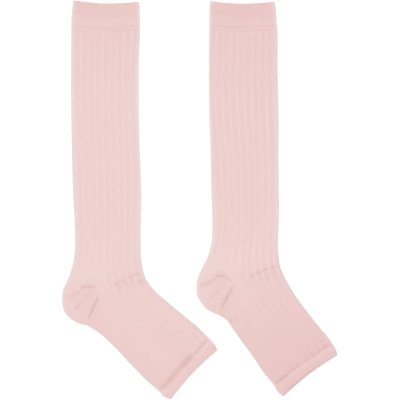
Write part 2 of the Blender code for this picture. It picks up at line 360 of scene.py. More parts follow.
@dataclass(frozen=True)
class SockPlan:
    """The sizes of one sock: where it lies, the lines across its pieces, and its creases."""

    name: str
    middle_x: float
    top_y: float
    first_rib_share: float
    rib_vigour: float
    heel_corner: Edge
    instep_course: Edge
    foot_way: tuple[float, float]
    cuff: tuple[Row, ...]
    leg: tuple[Row, ...]
    heel: tuple[Edge, ...]
    foot: tuple[Row, ...]
    toe_band: tuple[Row, ...]
    creases: tuple[Crease, ...]
    ribs: RibRun
    blush: Blush

    def heel_line(self, edge: Edge) -> Array:
        """The sampled line from a point on the heel's folded edge to the heel's corner."""
        row = Row(edge.x, edge.down, self.heel_corner.x, self.heel_corner.down, edge.sag)
        return row.points(np.arange(CORNER_SAMPLE + 1) / CORNER_SAMPLE)

    def course_line(self, edge: Edge) -> Array:
        """The line where leg and foot meet.

        Args:
            edge: Where the line starts on the heel's folded edge.

        Returns:
            Sampled plan points along the heel to its corner, then over the instep.
        """
        end = self.instep_course
        instep = Row(self.heel_corner.x, self.heel_corner.down, end.x, end.down, end.sag)
        front = (LINE_SAMPLES[CORNER_SAMPLE + 1 :] - CORNER_SHARE) / (1.0 - CORNER_SHARE)
        return np.vstack((self.heel_line(edge), instep.points(front)))

    def vigour(self, number: Array, down: Array) -> Array:
        """How strong the ribs are.

        Args:
            number: Each rib's number round the sock.
            down: How far down the sock it is.

        Returns:
            The strength, which is about 1.
        """
        varied = np.sin(RIB_VARIETY_SQUARE * number * number + RIB_VARIETY_STEP * number)
        swelling = np.sin(down / RIB_SWELL_LENGTH + RIB_SWELL_STEP * number)
        vigour = (1.0 + RIB_VARIETY * varied + RIB_SWELL * swelling) * self.rib_vigour
        return vigour * self.ribs.strength(down)

    def heel_middle(self, share: float) -> Array:
        """A spot on the heel's middle line.

        Args:
            share: The share of the way from the heel's corner to the middle of its fold.

        Returns:
            The spot's x and down.
        """
        corner = np.array((self.heel_corner.x, self.heel_corner.down))
        fold = self.heel[len(self.heel) // 2]
        return corner + (np.array((fold.x, fold.down)) - corner) * share

    def foot_reach(self, spots: Array) -> Array:
        """How far along the foot spots lie, from the heel's corner."""
        corner = np.array((self.heel_corner.x, self.heel_corner.down))
        return (spots - corner) @ np.array(self.foot_way)

    def world(self, spots: Array, height: Array) -> Array:
        """Places of spots of the sock in the frame that both socks share.

        Args:
            spots: An x and a down for each spot.
            height: How high each one lies.

        Returns:
            The places, in metres.
        """
        x = self.middle_x + spots[..., 0]
        y = self.top_y - spots[..., 1]
        return np.stack((x, y, height), axis=-1) * MM


LEFT_CREASES = (
    # rise, reach, points, then the painted shade, its reach, and the fades
    # The pull of the stitches below the cuff's own edge
    Crease(-0.28, 1.6, (
        (-12.0, 37.9), (1.0, 38.5), (22.0, 37.1), (43.5, 35.2),
    ), 0.2, 1.5, (0.25, 0.0), uneven=0.7),
    Crease(0.15, 1.6, ((-38.0, 33.0), (-27.0, 34.6), (-14.0, 35.2))),
    Crease(0.15, 1.6, ((6.0, 35.4), (19.0, 34.6), (36.0, 33.2))),
    # The end of the cuff's turned-in half, showing through
    Crease(-0.18, 3.0, ((-41.0, 18.0), (-10.0, 21.5), (20.0, 21.0), (43.0, 18.5)), fade=(0.1, 0.1)),
    # The heel's upper line, and the shade below it
    Crease(-0.8, 2.8, (
        (-33.5, 361.0), (-28.0, 359.1), (-24.0, 357.8), (-20.0, 357.8), (-16.0, 358.4), (-12.0, 359.6),
        (-8.8, 361.2),
    ), 0.6, 3.3, (0.3, 0.35)),
    Crease(-0.35, 3.2, ((-30.0, 366.0), (-20.0, 363.8), (-10.0, 366.2)), 0.2, 7.0),
    Crease(0.0, 1.0, ((-27.0, 374.0), (-19.0, 368.0), (-12.0, 369.0)), 0.2, 10.0),
    Crease(-0.25, 2.2, ((-30.0, 352.0), (-18.0, 350.6), (-5.0, 352.4), (2.0, 355.2)), 0.08, 1.0),
    Crease(0.3, 2.4, ((-33.0, 354.6), (-22.0, 353.4), (-12.0, 355.0))),
    # The soft valley behind the heel, and the folds that fan out from its corner
    Crease(-0.8, 4.6, (
        (-51.0, 371.6), (-44.0, 370.8), (-36.5, 368.0), (-30.0, 364.6), (-23.0, 362.0),
    ), 0.3, 4.6, (0.35, 0.4)),
    Crease(0.55, 3.6, ((-46.0, 377.0), (-37.0, 373.0), (-28.0, 368.0), (-19.0, 363.8))),
    Crease(-0.55, 2.6, (
        (-38.2, 385.0), (-34.6, 383.6), (-30.0, 380.6), (-26.0, 375.6), (-22.5, 370.6), (-16.0, 367.6),
    ), 0.38, 2.6, (0.12, 0.5), uneven=0.3),
    Crease(-0.2, 2.2, ((-38.6, 385.2), (-34.6, 383.9), (-30.0, 381.0)), 0.52, 2.4, (0.3, 0.5)),
    Crease(0.5, 3.2, ((-31.0, 390.5), (-24.0, 381.0), (-17.5, 372.0), (-11.5, 366.8))),
    # The heel's lower line
    Crease(-0.9, 2.9, (
        (-6.8, 364.4), (-7.7, 368.0), (-9.0, 373.2), (-11.0, 378.3), (-13.5, 383.0), (-18.0, 392.7),
        (-21.4, 401.4),
    ), 0.7, 2.8, (0.3, 0.22), uneven=0.12),
    Crease(0.25, 4.0, ((-3.0, 372.0), (-7.0, 384.0), (-13.0, 395.0))),
    # The stitches where leg and instep meet, pulled in between the ribs, with shade painted in the valleys
    # below them
    Crease(-0.4, 1.7, ((11.4, 356.4), (14.6, 354.4), (17.8, 352.0)), 0.5, 1.7, (0.2, 0.2)),
    Crease(-0.5, 1.7, ((19.6, 351.0), (22.5, 350.2), (25.6, 348.7)), 0.62, 1.7, (0.1, 0.3)),
    Crease(-0.4, 1.8, ((28.6, 346.8), (31.6, 345.6), (36.6, 344.4)), 0.55, 1.7, (0.2, 0.2)),
    Crease(-0.4, 1.7, ((31.5, 342.4), (37.8, 342.7), (41.2, 341.9), (44.1, 341.7)), 0.6, 1.6, (0.5, 0.1)),
    Crease(-0.35, 2.6, ((39.0, 350.4), (43.1, 351.5), (48.0, 350.6)), 0.5, 2.6, (0.2, 0.1)),
    Crease(-0.2, 2.2, ((42.6, 355.0), (47.6, 355.4)), 0.32, 2.6, (0.3, 0.2)),
    Crease(-0.3, 2.0, ((26.5, 360.0), (30.0, 361.8)), 0.3, 1.8),
    Crease(0.0, 1.0, (
        (10.0, 358.5), (20.0, 354.5), (31.0, 350.5), (46.0, 347.5),
    ), 0.24, 10.0, (0.3, 0.0), between_ribs=True),
    # The pull along the toe band's seam
    Crease(-0.44, 4.4, (
        (68.6, 491.4), (82.6, 476.4), (92.0, 465.9), (100.8, 455.5), (113.5, 442.3), (129.5, 423.0),
    ), fade=(0.0, 0.5)),
    Crease(-0.25, 4.0, (
        (69.8, 487.4), (72.9, 483.5), (76.4, 479.9), (81.9, 474.7), (88.6, 467.4), (93.0, 461.2),
        (98.2, 455.8), (103.1, 450.1), (106.7, 446.7), (113.4, 440.9),
    ), 0.6, 6.1, (0.1, 0.14), broad=True, uneven=0.25),
    Crease(-0.35, 3.4, (
        (110.6, 444.4), (114.7, 440.4), (119.5, 434.6), (122.6, 430.7), (125.4, 426.5), (127.6, 423.6),
    ), 0.34, 3.8, (0.2, 0.1)),
    Crease(-0.25, 1.8, ((106.0, 436.0), (112.0, 430.5)), 0.15, 1.6),
    Crease(-0.25, 1.8, ((112.5, 426.0), (117.0, 419.5)), 0.15, 1.6),
)

LEFT_SOCK = SockPlan(
    name="left",
    middle_x=-118.27,
    top_y=249.28,
    first_rib_share=0.13,
    rib_vigour=1.0,
    heel_corner=Edge(-8.5, 362.5),
    instep_course=Edge(47.8, 337.8, 1.5),
    foot_way=(0.70, 0.714),
    cuff=(
        #   back x, back down, front x, front down, sag
        Row(-39.4, -0.7, 43.4, 1.0, 3.6),
        Row(-41.1, 15.0, 43.6, 15.0, 3.7),
        Row(-41.9, 30.8, 43.8, 30.5, 3.4),
    ),
    leg=(
        Row(-42.0, 36.0, 43.7, 35.8, 3.1),
        Row(-42.1, 43.0, 43.5, 42.8, 2.7),
        Row(-42.4, 75.0, 42.1, 75.0, 1.6),
        Row(-42.4, 110.0, 42.0, 110.0, 0.8),
        Row(-42.0, 150.0, 42.2, 150.0),
        Row(-41.2, 195.0, 43.8, 195.0),
        Row(-40.0, 240.0, 45.3, 240.0),
        Row(-37.8, 285.0, 44.8, 285.0),
        Row(-37.8, 313.0, 44.9, 309.0, 1.0),
        Row(-40.9, 332.5, 45.4, 322.5, 3.5),
        Row(-46.1, 347.5, 46.7, 331.0, 6.5),
    ),
    heel=(
        #    x, down, sag
        Edge(-52.3, 361.2, -5.2),
        Edge(-53.6, 371.2, -3.4),
        Edge(-52.9, 383.3, -1.6),
        Edge(-47.8, 393.5, -0.6),
        Edge(-37.6, 401.8, 0.4),
        Edge(-22.2, 406.6, 1.5),
    ),
    foot=(
        Row(-12.1, 412.5, 52.6, 350.0, -4.0),
        Row(0.0, 421.9, 62.4, 362.5, -1.5),
        Row(16.0, 437.5, 76.5, 375.0),
        Row(33.5, 456.2, 94.9, 390.4),
        Row(51.9, 475.0, 113.9, 406.2),
    ),
    toe_band=(
        Row(68.8, 489.9, 130.7, 422.4),
        Row(72.8, 494.6, 136.4, 428.6, -1.7),
        Row(82.4, 499.0, 141.2, 437.0, -3.1),
    ),
    creases=LEFT_CREASES,
    ribs=RibRun(
        downs=(
            42.0, 60.0, 85.0, 110.0, 150.0, 167.0, 185.0,
            205.0, 235.0, 260.0, 285.0, 310.0, 335.0, 352.0,
            375.0, 387.0, 399.0, 411.0, 423.0, 432.0,
        ),
        back_shifts=(
            2.0, 2.9, 3.1, 2.9, 2.9, 3.3, 4.0,
            3.9, 3.8, 3.4, 3.6, 3.1, 1.6, 0.0,
            -1.0, -2.8, -4.2, -4.2, -3.4, -3.6,
        ),
        front_shifts=(
            2.4, 2.5, 1.9, 1.6, 1.6, 1.5, 1.3,
            2.1, 1.1, 1.1, 0.4, -0.3, -0.3, 0.0,
            -1.0, -2.8, -4.2, -4.2, -3.4, -3.6,
        ),
        strengths=(
            1.4, 1.25, 1.15, 1.15, 1.15, 0.8, 0.75,
            1.15, 1.15, 1.15, 0.85, 0.85, 0.95, 1.0,
            1.1, 1.0, 1.3, 0.9, 1.2, 1.6,
        ),
    ),
    blush=Blush(
        leg_downs=(38.0, 60.0, 115.0, 250.0, 340.0),
        leg_values=(0.5, 0.34, 0.06, 0.06, 0.0),
        foot_reaches=(-20.0, 15.0, 60.0, 130.0),
        foot_values=(0.05, 0.22, 0.40, 0.5),
        sole=0.3,
        heel=0.32,
        cuff=0.9,
        toe_band=0.75,
        lip=0.32,
    ),
)

RIGHT_CREASES = (
    # The shade of each crease is painted into the yarn along it
    Crease(-0.15, 1.6, (
        (-43.0, 35.6), (-21.0, 37.6), (0.0, 38.7), (20.0, 37.3), (42.0, 35.4),
    ), 0.1, 1.5, (0.0, 0.0), uneven=0.7),
    Crease(0.15, 1.6, ((-40.0, 33.2), (-24.0, 35.0), (-8.0, 35.8))),
    Crease(0.15, 1.6, ((3.0, 35.6), (18.0, 34.8), (38.0, 33.0))),
    Crease(-0.18, 3.0, ((-42.0, 17.0), (-12.0, 20.0), (16.0, 21.5), (40.5, 18.0)), fade=(0.1, 0.1)),
    # The heel's upper line
    Crease(-0.8, 2.7, (
        (-36.4, 344.9), (-33.0, 344.3), (-28.5, 344.2), (-24.0, 345.2), (-19.0, 347.2),
    ), 0.64, 2.9, (0.15, 0.4)),
    Crease(-0.5, 2.6, (
        (-25.5, 344.9), (-20.5, 346.8), (-16.5, 349.4), (-14.0, 352.6),
    ), 0.38, 2.8, (0.4, 0.35)),
    Crease(0.0, 1.0, (
        (-42.0, 350.4), (-33.0, 348.4), (-24.0, 348.8), (-17.0, 351.0),
    ), 0.24, 5.6, (0.2, 0.3)),
    Crease(0.0, 1.0, ((-34.0, 357.0), (-26.0, 355.0), (-18.0, 357.0)), 0.19, 9.0),
    Crease(-0.3, 2.2, (
        (-33.5, 340.0), (-29.0, 339.0), (-24.0, 340.6), (-18.5, 345.0),
    ), 0.34, 2.4, (0.2, 0.5)),
    Crease(0.4, 2.6, ((-42.0, 343.5), (-36.0, 340.5), (-31.0, 341.5))),
    Crease(-0.25, 2.4, ((-8.0, 343.5), (-2.0, 345.2), (3.0, 344.0)), 0.12, 2.4),
    # The soft valley behind the heel, and the folds that fan out from its corner
    Crease(-0.9, 4.2, (
        (-57.5, 358.6), (-50.5, 356.3), (-44.0, 353.6), (-38.0, 350.4), (-31.0, 348.2),
    ), 0.32, 4.0, (0.2, 0.15)),
    Crease(0.6, 3.4, ((-52.0, 363.0), (-44.0, 358.6), (-35.0, 355.0)), fade=(0.3, 0.45)),
    Crease(-0.4, 2.4, ((-37.0, 359.5), (-31.0, 355.6), (-24.0, 352.0)), 0.16, 2.2),
    Crease(-0.55, 2.2, (
        (-43.8, 371.4), (-39.5, 370.2), (-36.8, 368.4), (-33.8, 366.2), (-31.6, 362.6), (-27.6, 358.6),
        (-22.4, 355.2),
    ), 0.38, 2.2, (0.12, 0.4), uneven=0.2),
    Crease(0.5, 3.2, ((-37.0, 377.0), (-29.5, 367.6), (-22.5, 360.6), (-17.0, 355.4))),
    # The heel's lower line
    Crease(-0.9, 2.8, (
        (-12.0, 354.2), (-13.3, 357.8), (-15.6, 362.4), (-20.5, 371.5), (-25.2, 380.7), (-29.9, 389.6),
    ), 0.75, 2.6, (0.22, 0.25), uneven=0.08),
    Crease(0.0, 1.0, ((-18.5, 364.0), (-24.5, 374.0), (-29.0, 383.0)), 0.12, 4.6),
    Crease(0.25, 4.0, ((-8.0, 362.0), (-13.0, 373.0), (-19.5, 384.0))),
    # A nick in the sole where the arch begins
    Crease(-0.4, 2.0, ((-17.2, 396.0), (-15.6, 400.1), (-14.9, 403.0), (-13.4, 406.4)), 0.48, 2.1),
    Crease(-0.5, 3.4, ((-10.4, 393.4), (-8.9, 397.4), (-9.0, 403.0)), 0.22, 3.6, (0.4, 0.4)),
    Crease(0.35, 2.2, ((-17.0, 393.8), (-13.6, 396.2), (-11.6, 399.6))),
    # The stitches where leg and instep meet, pulled in between the ribs, with shade painted in the valleys
    # below them
    Crease(-0.35, 2.2, ((8.3, 344.6), (12.1, 342.9)), 0.52, 2.1, (0.15, 0.15)),
    Crease(-0.45, 1.7, ((14.9, 341.4), (16.7, 340.4), (20.1, 339.2), (22.4, 338.2)), 0.62, 1.7, (0.05, 0.2)),
    Crease(-0.5, 2.0, ((24.3, 337.6), (27.0, 336.3), (31.0, 334.8)), 0.6, 2.0, (0.1, 0.2)),
    Crease(-0.45, 1.7, ((34.9, 335.8), (35.9, 333.4), (38.2, 332.7), (41.2, 332.6)), 0.6, 1.7, (0.1, 0.3)),
    Crease(-0.35, 1.8, ((43.0, 334.2), (46.2, 335.4)), 0.35, 1.6, (0.3, 0.0)),
    Crease(0.0, 1.0, (
        (7.0, 348.0), (18.0, 345.0), (30.0, 341.0), (47.0, 337.5),
    ), 0.22, 10.0, (0.25, 0.0), between_ribs=True),
    # The pull along the toe band's seam, which is broken into short lengths
    Crease(-0.35, 4.6, (
        (38.4, 483.4), (53.0, 471.0), (66.6, 459.5), (81.0, 448.8), (95.6, 438.4), (110.0, 429.4),
    ), 0.12, 5.4, (0.0, 0.3)),
    Crease(-0.4, 3.2, (
        (40.4, 479.6), (44.0, 476.4), (48.0, 473.5), (53.6, 468.4), (60.0, 463.4),
    ), 0.58, 4.5, (0.1, 0.45)),
    Crease(-0.35, 3.4, (
        (55.0, 467.8), (63.3, 460.4), (66.9, 456.9), (70.5, 453.3), (74.8, 450.7),
    ), 0.42, 5.4, uneven=0.3),
    Crease(-0.35, 2.6, ((82.0, 446.4), (86.4, 441.3), (91.4, 438.4)), 0.32, 3.6),
    Crease(-0.4, 2.4, (
        (91.0, 439.4), (95.5, 436.8), (99.9, 434.3), (103.4, 430.7), (108.0, 428.4),
    ), 0.34, 3.0),
    Crease(0.0, 1.0, ((48.0, 479.5), (56.0, 473.5), (65.0, 466.5)), 0.25, 3.6),
    Crease(-0.35, 2.4, ((88.0, 424.0), (96.0, 426.4), (104.0, 424.0)), 0.16, 2.2),
    Crease(-0.25, 1.8, ((80.0, 437.0), (84.0, 431.6)), 0.14, 1.8),
    Crease(-0.3, 2.6, ((38.0, 449.0), (46.0, 450.8), (55.0, 453.6)), 0.12, 2.4),
    # The lip of the toe band, turned down
    Crease(-0.4, 2.2, (
        (52.0, 489.6), (60.0, 482.6), (75.4, 470.0), (91.2, 457.8), (104.0, 448.6),
    ), 0.42, 2.4, (0.1, 0.4)),
)

RIGHT_SOCK = SockPlan(
    name="right",
    middle_x=55.33,
    top_y=249.28,
    first_rib_share=0.094,
    rib_vigour=1.25,
    heel_corner=Edge(-14.0, 352.5),
    instep_course=Edge(45.7, 331.6, -1.8),
    foot_way=(0.61, 0.792),
    cuff=(
        Row(-42.0, 0.4, 39.4, 0.9, 3.3),
        Row(-42.6, 15.0, 40.8, 15.0, 4.0),
        Row(-42.9, 30.8, 41.8, 30.5, 3.4),
    ),
    leg=(
        Row(-42.9, 36.0, 42.5, 35.8, 3.1),
        Row(-43.0, 43.0, 42.8, 42.8, 2.7),
        Row(-43.2, 75.0, 42.9, 75.0, 1.6),
        Row(-43.2, 110.0, 43.2, 110.0, 0.8),
        Row(-42.3, 150.0, 44.2, 150.0),
        Row(-41.3, 195.0, 43.8, 195.0),
        Row(-40.3, 240.0, 44.4, 240.0),
        Row(-39.2, 280.0, 44.4, 278.0),
        Row(-40.3, 302.5, 43.4, 298.5, 1.0),
        Row(-45.5, 321.5, 43.7, 312.5, 3.5),
        Row(-53.2, 336.5, 44.5, 322.5, 6.0),
    ),
    heel=(
        Edge(-57.9, 348.8, -5.2),
        Edge(-59.0, 357.5, -3.4),
        Edge(-57.9, 368.8, -1.6),
        Edge(-52.6, 378.8, -0.6),
        Edge(-43.9, 387.5, 0.4),
        Edge(-30.1, 393.8, 1.5),
    ),
    foot=(
        Row(-21.1, 400.0, 50.8, 344.0, -4.0),
        Row(-12.3, 412.5, 59.6, 360.0, -1.5),
        Row(-0.4, 428.8, 71.3, 377.5),
        Row(12.1, 446.2, 83.8, 393.8),
        Row(24.8, 465.0, 96.7, 410.0),
        Row(31.3, 473.0, 105.3, 420.2),
    ),
    toe_band=(
        Row(38.2, 481.3, 111.6, 429.2, -1.1),
        Row(41.2, 487.8, 115.4, 435.7, -2.0),
        Row(49.6, 495.2, 117.8, 443.2, -2.9),
    ),
    creases=RIGHT_CREASES,
    ribs=RibRun(
        downs=(
            42.0, 60.0, 73.0, 85.0, 108.0, 123.0, 135.0, 152.0, 167.0, 185.0,
            198.0, 222.0, 247.0, 272.0, 298.0, 310.0, 322.0, 335.0, 352.0,
            358.0, 386.0, 400.0, 414.0, 436.0,
        ),
        back_shifts=(
            2.3, 1.3, 1.1, 0.5, -0.2, 0.5, 0.9, 1.5, 2.6, 5.0,
            6.2, 7.1, 6.9, 6.3, 6.2, 5.4, 4.2, 1.0, 0.0,
            0.4, -1.2, -0.2, 0.8, 0.2,
        ),
        front_shifts=(
            0.9, 1.3, 1.6, 1.1, 0.5, 1.1, 0.9, 0.9, 1.6, 1.6,
            2.8, 2.5, 2.0, 1.6, 1.2, 1.2, 0.4, 0.2, 0.0,
            0.4, -1.2, -0.2, 0.8, 0.2,
        ),
        strengths=(
            1.4, 1.2, 1.1, 0.95, 0.9, 1.15, 1.35, 1.4, 1.15, 0.9,
            0.85, 1.0, 0.95, 0.8, 0.9, 1.2, 1.3, 1.2, 1.0,
            1.1, 1.3, 1.4, 1.2, 1.4,
        ),
    ),
    blush=Blush(
        leg_downs=(38.0, 60.0, 115.0, 250.0, 330.0),
        leg_values=(0.6, 0.5, 0.3, 0.17, 0.0),
        foot_reaches=(-20.0, 15.0, 60.0, 130.0),
        foot_values=(0.1, 0.24, 0.7, 1.05),
        sole=0.2,
        heel=0.32,
        cuff=1.1,
        toe_band=1.1,
        lip=0.8,
    ),
)


class LineRun:
    """Smooth curves through the lines across one stretch of a sock."""

    def __init__(self, lines: list[Array]) -> None:
        """Works out the curves' slopes.

        Args:
            lines: The sampled lines, from the cuff's side to the toe's side.
        """
        self.lines = np.array(lines)
        advance = np.linalg.norm(np.diff(self.lines, axis=0), axis=2).mean(axis=1)
        self.knots = np.concatenate(((0.0,), np.cumsum(advance)))
        self.slopes = np.gradient(self.lines, self.knots, axis=0)

    @property
    def length(self) -> float:
        """The mean length of the stretch."""
        return float(self.knots[-1])

    def at(self, places: Array) -> Array:
        """The lines at some places along the stretch.

        Args:
            places: Lengths from the stretch's first line.

        Returns:
            The sampled line at each place.
        """
        index = np.clip(np.searchsorted(self.knots, places, side="right") - 1, 0, len(self.knots) - 2)
        width = np.diff(self.knots)[index][:, None, None]
        t = (places - self.knots[index])[:, None, None] / width
        return (
            (2 * t**3 - 3 * t**2 + 1) * self.lines[index]
            + (t**3 - 2 * t**2 + t) * width * self.slopes[index]
            + (3 * t**2 - 2 * t**3) * self.lines[index + 1]
            + (t**3 - t**2) * width * self.slopes[index + 1]
        )


def spaced(start: float, end: float, near: float, far: float) -> Array:
    """Places from start to end, close together near both and further apart in between.

    Args:
        start: The first place.
        end: The last place.
        near: The step at the ends.
        far: The widest step.

    Returns:
        The places, in order.
    """
    places = [start]
    while places[-1] < end:
        to_end = min(places[-1] - start, end - places[-1])
        places.append(places[-1] + min(near + STEP_GROWTH * to_end, far))
    stretched = np.array(places) - start
    return start + stretched * (end - start) / stretched[-1]


@dataclass(frozen=True)
class Ring:
    """The columns of points round a flattened tube.

    They run along the under layer from the front edge to the back one, round the back fold,
    along the top layer to the front edge and round the front fold. share is the place across
    the sock from its back edge, and turn the angle above the horizontal at which the surface
    faces.
    """

    share: Array
    turn: Array

    @staticmethod
    def layer(step: float) -> Array:
        """Even shares across a layer, with one at the heel's corner.

        Args:
            step: About how far apart they are.

        Returns:
            The shares, from the back edge to the front one.
        """
        back = np.linspace(0.0, CORNER_SHARE, round(CORNER_SHARE / step) + 1)
        front = np.linspace(CORNER_SHARE, 1.0, round((1.0 - CORNER_SHARE) / step) + 1)
        return np.concatenate((back, front[1:]))

    @classmethod
    def tube(cls) -> "Ring":
        """The columns all round a tube.

        Returns:
            The closed ring.
        """
        under, top = cls.layer(UNDER_STEP_SHARE)[::-1], cls.layer(TOP_STEP_SHARE)
        folds = len(FOLD_TURNS)
        share = np.concatenate((under, np.zeros(folds), top, np.ones(folds)))
        right_angle = math.pi / 2
        turn = np.concatenate(
            (np.full(len(under), -right_angle), FOLD_TURNS, np.full(len(top), right_angle), FOLD_TURNS[::-1])
        )
        return cls(share, turn)

    def pocket(self) -> "Ring":
        """The columns of the tube that the heel pocket shares, from its corner to its corner."""
        kept = self.share < CORNER_SHARE + SHARE_SLACK
        return Ring(self.share[kept], self.turn[kept])


@dataclass(frozen=True)
class Loops:
    """A run of loops round a tube, along it and over the thickness of its wall.

    place is how far along the tube each loop lies, and outside is 1 on the wall's outer face,
    0 on its inner face, and between them round a rim.
    """

    place: Array
    outside: Array

    @classmethod
    def flat(cls, places: Array, outside: float) -> "Loops":
        """Loops on the outer or the inner face."""
        return cls(places, np.full(len(places), outside))

    @classmethod
    def rim(cls, end: float, radius: float, to_toe: bool) -> "Loops":
        """Loops round a rim that ends there, half a wall deep, from the outer face to the inner."""
        back = radius * (1.0 - np.cos(RIM_TURNS))
        return cls(end - back if to_toe else end + back, (1.0 + np.sin(RIM_TURNS)) / 2.0)

    def reversed(self) -> "Loops":
        """The same loops, the other way round."""
        return Loops(self.place[::-1], self.outside[::-1])

    def then(self, other: "Loops") -> "Loops":
        """These loops, and others after them."""
        place = np.concatenate((self.place, other.place))
        return Loops(place, np.concatenate((self.outside, other.outside)))


@dataclass
class Surface:
    """The points, faces and stitch coordinates of a piece, gathered patch by patch."""

    points: list[Array] = field(default_factory=list)
    marks: dict[str, list[Array]] = field(default_factory=dict)
    faces: list[Array] = field(default_factory=list)
    stitches: list[Array] = field(default_factory=list)
    count: int = 0

    def add_grid(
        self,
        points: Array,
        marks: dict[str, Array],
        stitches: Array,
        wraps: tuple[bool, bool],
    ) -> None:
        """Adds a grid of quads.

        Args:
            points: World points, one for each loop and column.
            marks: Numbers that go with the points, by name.
            stitches: The wale and the course at each point.
            wraps: Whether the last loop meets the first, and the last column the first.
        """
        loops, columns = points.shape[:2]
        numbers = self.count + np.arange(loops * columns).reshape(loops, columns)
        if wraps[1]:
            first = stitches[:, :1].copy()
            first[..., 0] += RIBS_ROUND * WALES_IN_RIB
            stitches = np.concatenate((stitches, first), axis=1)
            numbers = np.concatenate((numbers, numbers[:, :1]), axis=1)
        if wraps[0]:
            stitches = np.concatenate((stitches, stitches[:1]), axis=0)
            numbers = np.concatenate((numbers, numbers[:1]), axis=0)
        for target, grid in ((self.faces, numbers), (self.stitches, stitches)):
            corners = (grid[:-1, :-1], grid[:-1, 1:], grid[1:, 1:], grid[1:, :-1])
            stacked = np.stack(corners, axis=2)
            target.append(stacked.reshape(-1, *stacked.shape[2:]))
        self.points.append(points.reshape(-1, 3))
        for name, values in marks.items():
            self.marks.setdefault(name, []).append(values.ravel())
        self.count += loops * columns

    def make_object(self, name: str) -> bpy.types.Object:
        """Makes the mesh, joins the patches where they meet, and smooths its shading.

        Args:
            name: The object's name.

        Returns:
            The object, linked to the scene.
        """
        mesh = bpy.data.meshes.new(name)
        faces = np.concatenate(self.faces)
        mesh.from_pydata(np.concatenate(self.points), [], faces.tolist())
        layer = mesh.uv_layers.new(name="stitches")
        layer.uv.foreach_set("vector", np.concatenate(self.stitches).astype(np.float32).ravel())
        for mark, values in self.marks.items():
            attribute = mesh.attributes.new(mark, "FLOAT", "POINT")
            attribute.data.foreach_set("value", np.concatenate(values).astype(np.float32))
        bm = bmesh.new()
        bm.from_mesh(mesh)
        bmesh.ops.remove_doubles(bm, verts=bm.verts, dist=WELD_LENGTH)
        bmesh.ops.recalc_face_normals(bm, faces=bm.faces)
        bm.to_mesh(mesh)
        bm.free()
        mesh.shade_smooth()
        return placed(name, mesh)


def operator(operation: str, reflected: bool = False) -> Callable[..., "Field"]:
    """Makes a method of a field that adds a Math node.

    Args:
        operation: What the node works out.
        reflected: Whether the field is the node's second value, and not its first.

    Returns:
        The method.
    """

    def method(self: "Field", *others: "Field | float") -> "Field":
        """The field, after the operation.

        Args:
            others: The node's other values.

        Returns:
            What the node works out.
        """
        values = (*others, self) if reflected else (self, *others)
        node = self.shader.node("ShaderNodeMath", {"operation": operation}, dict(enumerate(values)))
        return Field(self.shader, node.outputs[0])

    return method


@dataclass(frozen=True)
class Field:
    """A number that varies over a surface. Arithmetic on it adds Math nodes."""

    shader: "Shader"
    socket: Socket

    __add__ = operator("ADD")
    __radd__ = operator("ADD", reflected=True)
    __sub__ = operator("SUBTRACT")
    __rsub__ = operator("SUBTRACT", reflected=True)
    __mul__ = operator("MULTIPLY")
    __rmul__ = operator("MULTIPLY", reflected=True)
    __abs__ = operator("ABSOLUTE")
    fraction = operator("FRACT")
    cosine = operator("COSINE")
    sine = operator("SINE")
    at_most = operator("MINIMUM")
    at_least = operator("MAXIMUM")

    def limited(self) -> "Field":
        """The number, held between 0 and 1."""
        return self.at_most(1.0).at_least(0.0)


class Shader:
    """The nodes of one material, or of the world."""

    def __init__(self, owner: bpy.types.Material | bpy.types.World) -> None:
        """Starts with an empty tree.

        Args:
            owner: The material or the world that has it.
        """
        owner.use_nodes = True
        self.tree = owner.node_tree
        self.tree.nodes.clear()

    def node(self, kind: str, settings: dict | None = None, sockets: dict | None = None) -> bpy.types.Node:
        """Adds a node.

        Args:
            kind: The node's type.
            settings: The node's own settings, which are made first.
            sockets: A value, field or output for each input, by name or number.

        Returns:
            The node.
        """
        made = self.tree.nodes.new(kind)
        for name, value in (settings or {}).items():
            setattr(made, name, value)
        for name, value in (sockets or {}).items():
            value = value.socket if isinstance(value, Field) else value
            if isinstance(value, Socket):
                self.tree.links.new(value, made.inputs[name])
            else:
                made.inputs[name].default_value = value
        return made

    def field(self, kind: str, settings: dict | None, sockets: dict | None, output: str | int = 0) -> Field:
        """Adds a node and wraps one of its outputs."""
        return Field(self, self.node(kind, settings, sockets).outputs[output])

    def noise(self, place: Socket, scale: float, detail: float) -> Field:
        """A cloudy number, 0.5 on average: smaller clouds with scale, finer ones with detail."""
        return self.field("ShaderNodeTexNoise", None, {"Vector": place, "Scale": scale, "Detail": detail})

    def show(self, kind: str, look: dict, target: str = "Material") -> None:
        """Adds a surface of this kind and look, and sends it to the output."""
        surface = self.node(kind, None, look)
        self.node(f"ShaderNodeOutput{target}", None, {"Surface": surface.outputs[0]})

    def mark(self, name: str) -> Field:
        """A number that goes with the mesh's points."""
        return self.field("ShaderNodeAttribute", {"attribute_name": name}, None, "Fac")

    def blend(self, factor: Field, first: object, second: object) -> Socket:
        """A colour from the first, at factor 0, to the second, at 1."""
        node = self.node("ShaderNodeMix", {"data_type": "RGBA"}, {"Factor": factor, 6: first, 7: second})
        return node.outputs[2]

    def dimmed(self, color: Socket, factor: Field) -> Socket:
        """A colour times a number."""
        node = self.node("ShaderNodeVectorMath", {"operation": "SCALE"}, {0: color, "Scale": factor})
        return node.outputs[0]


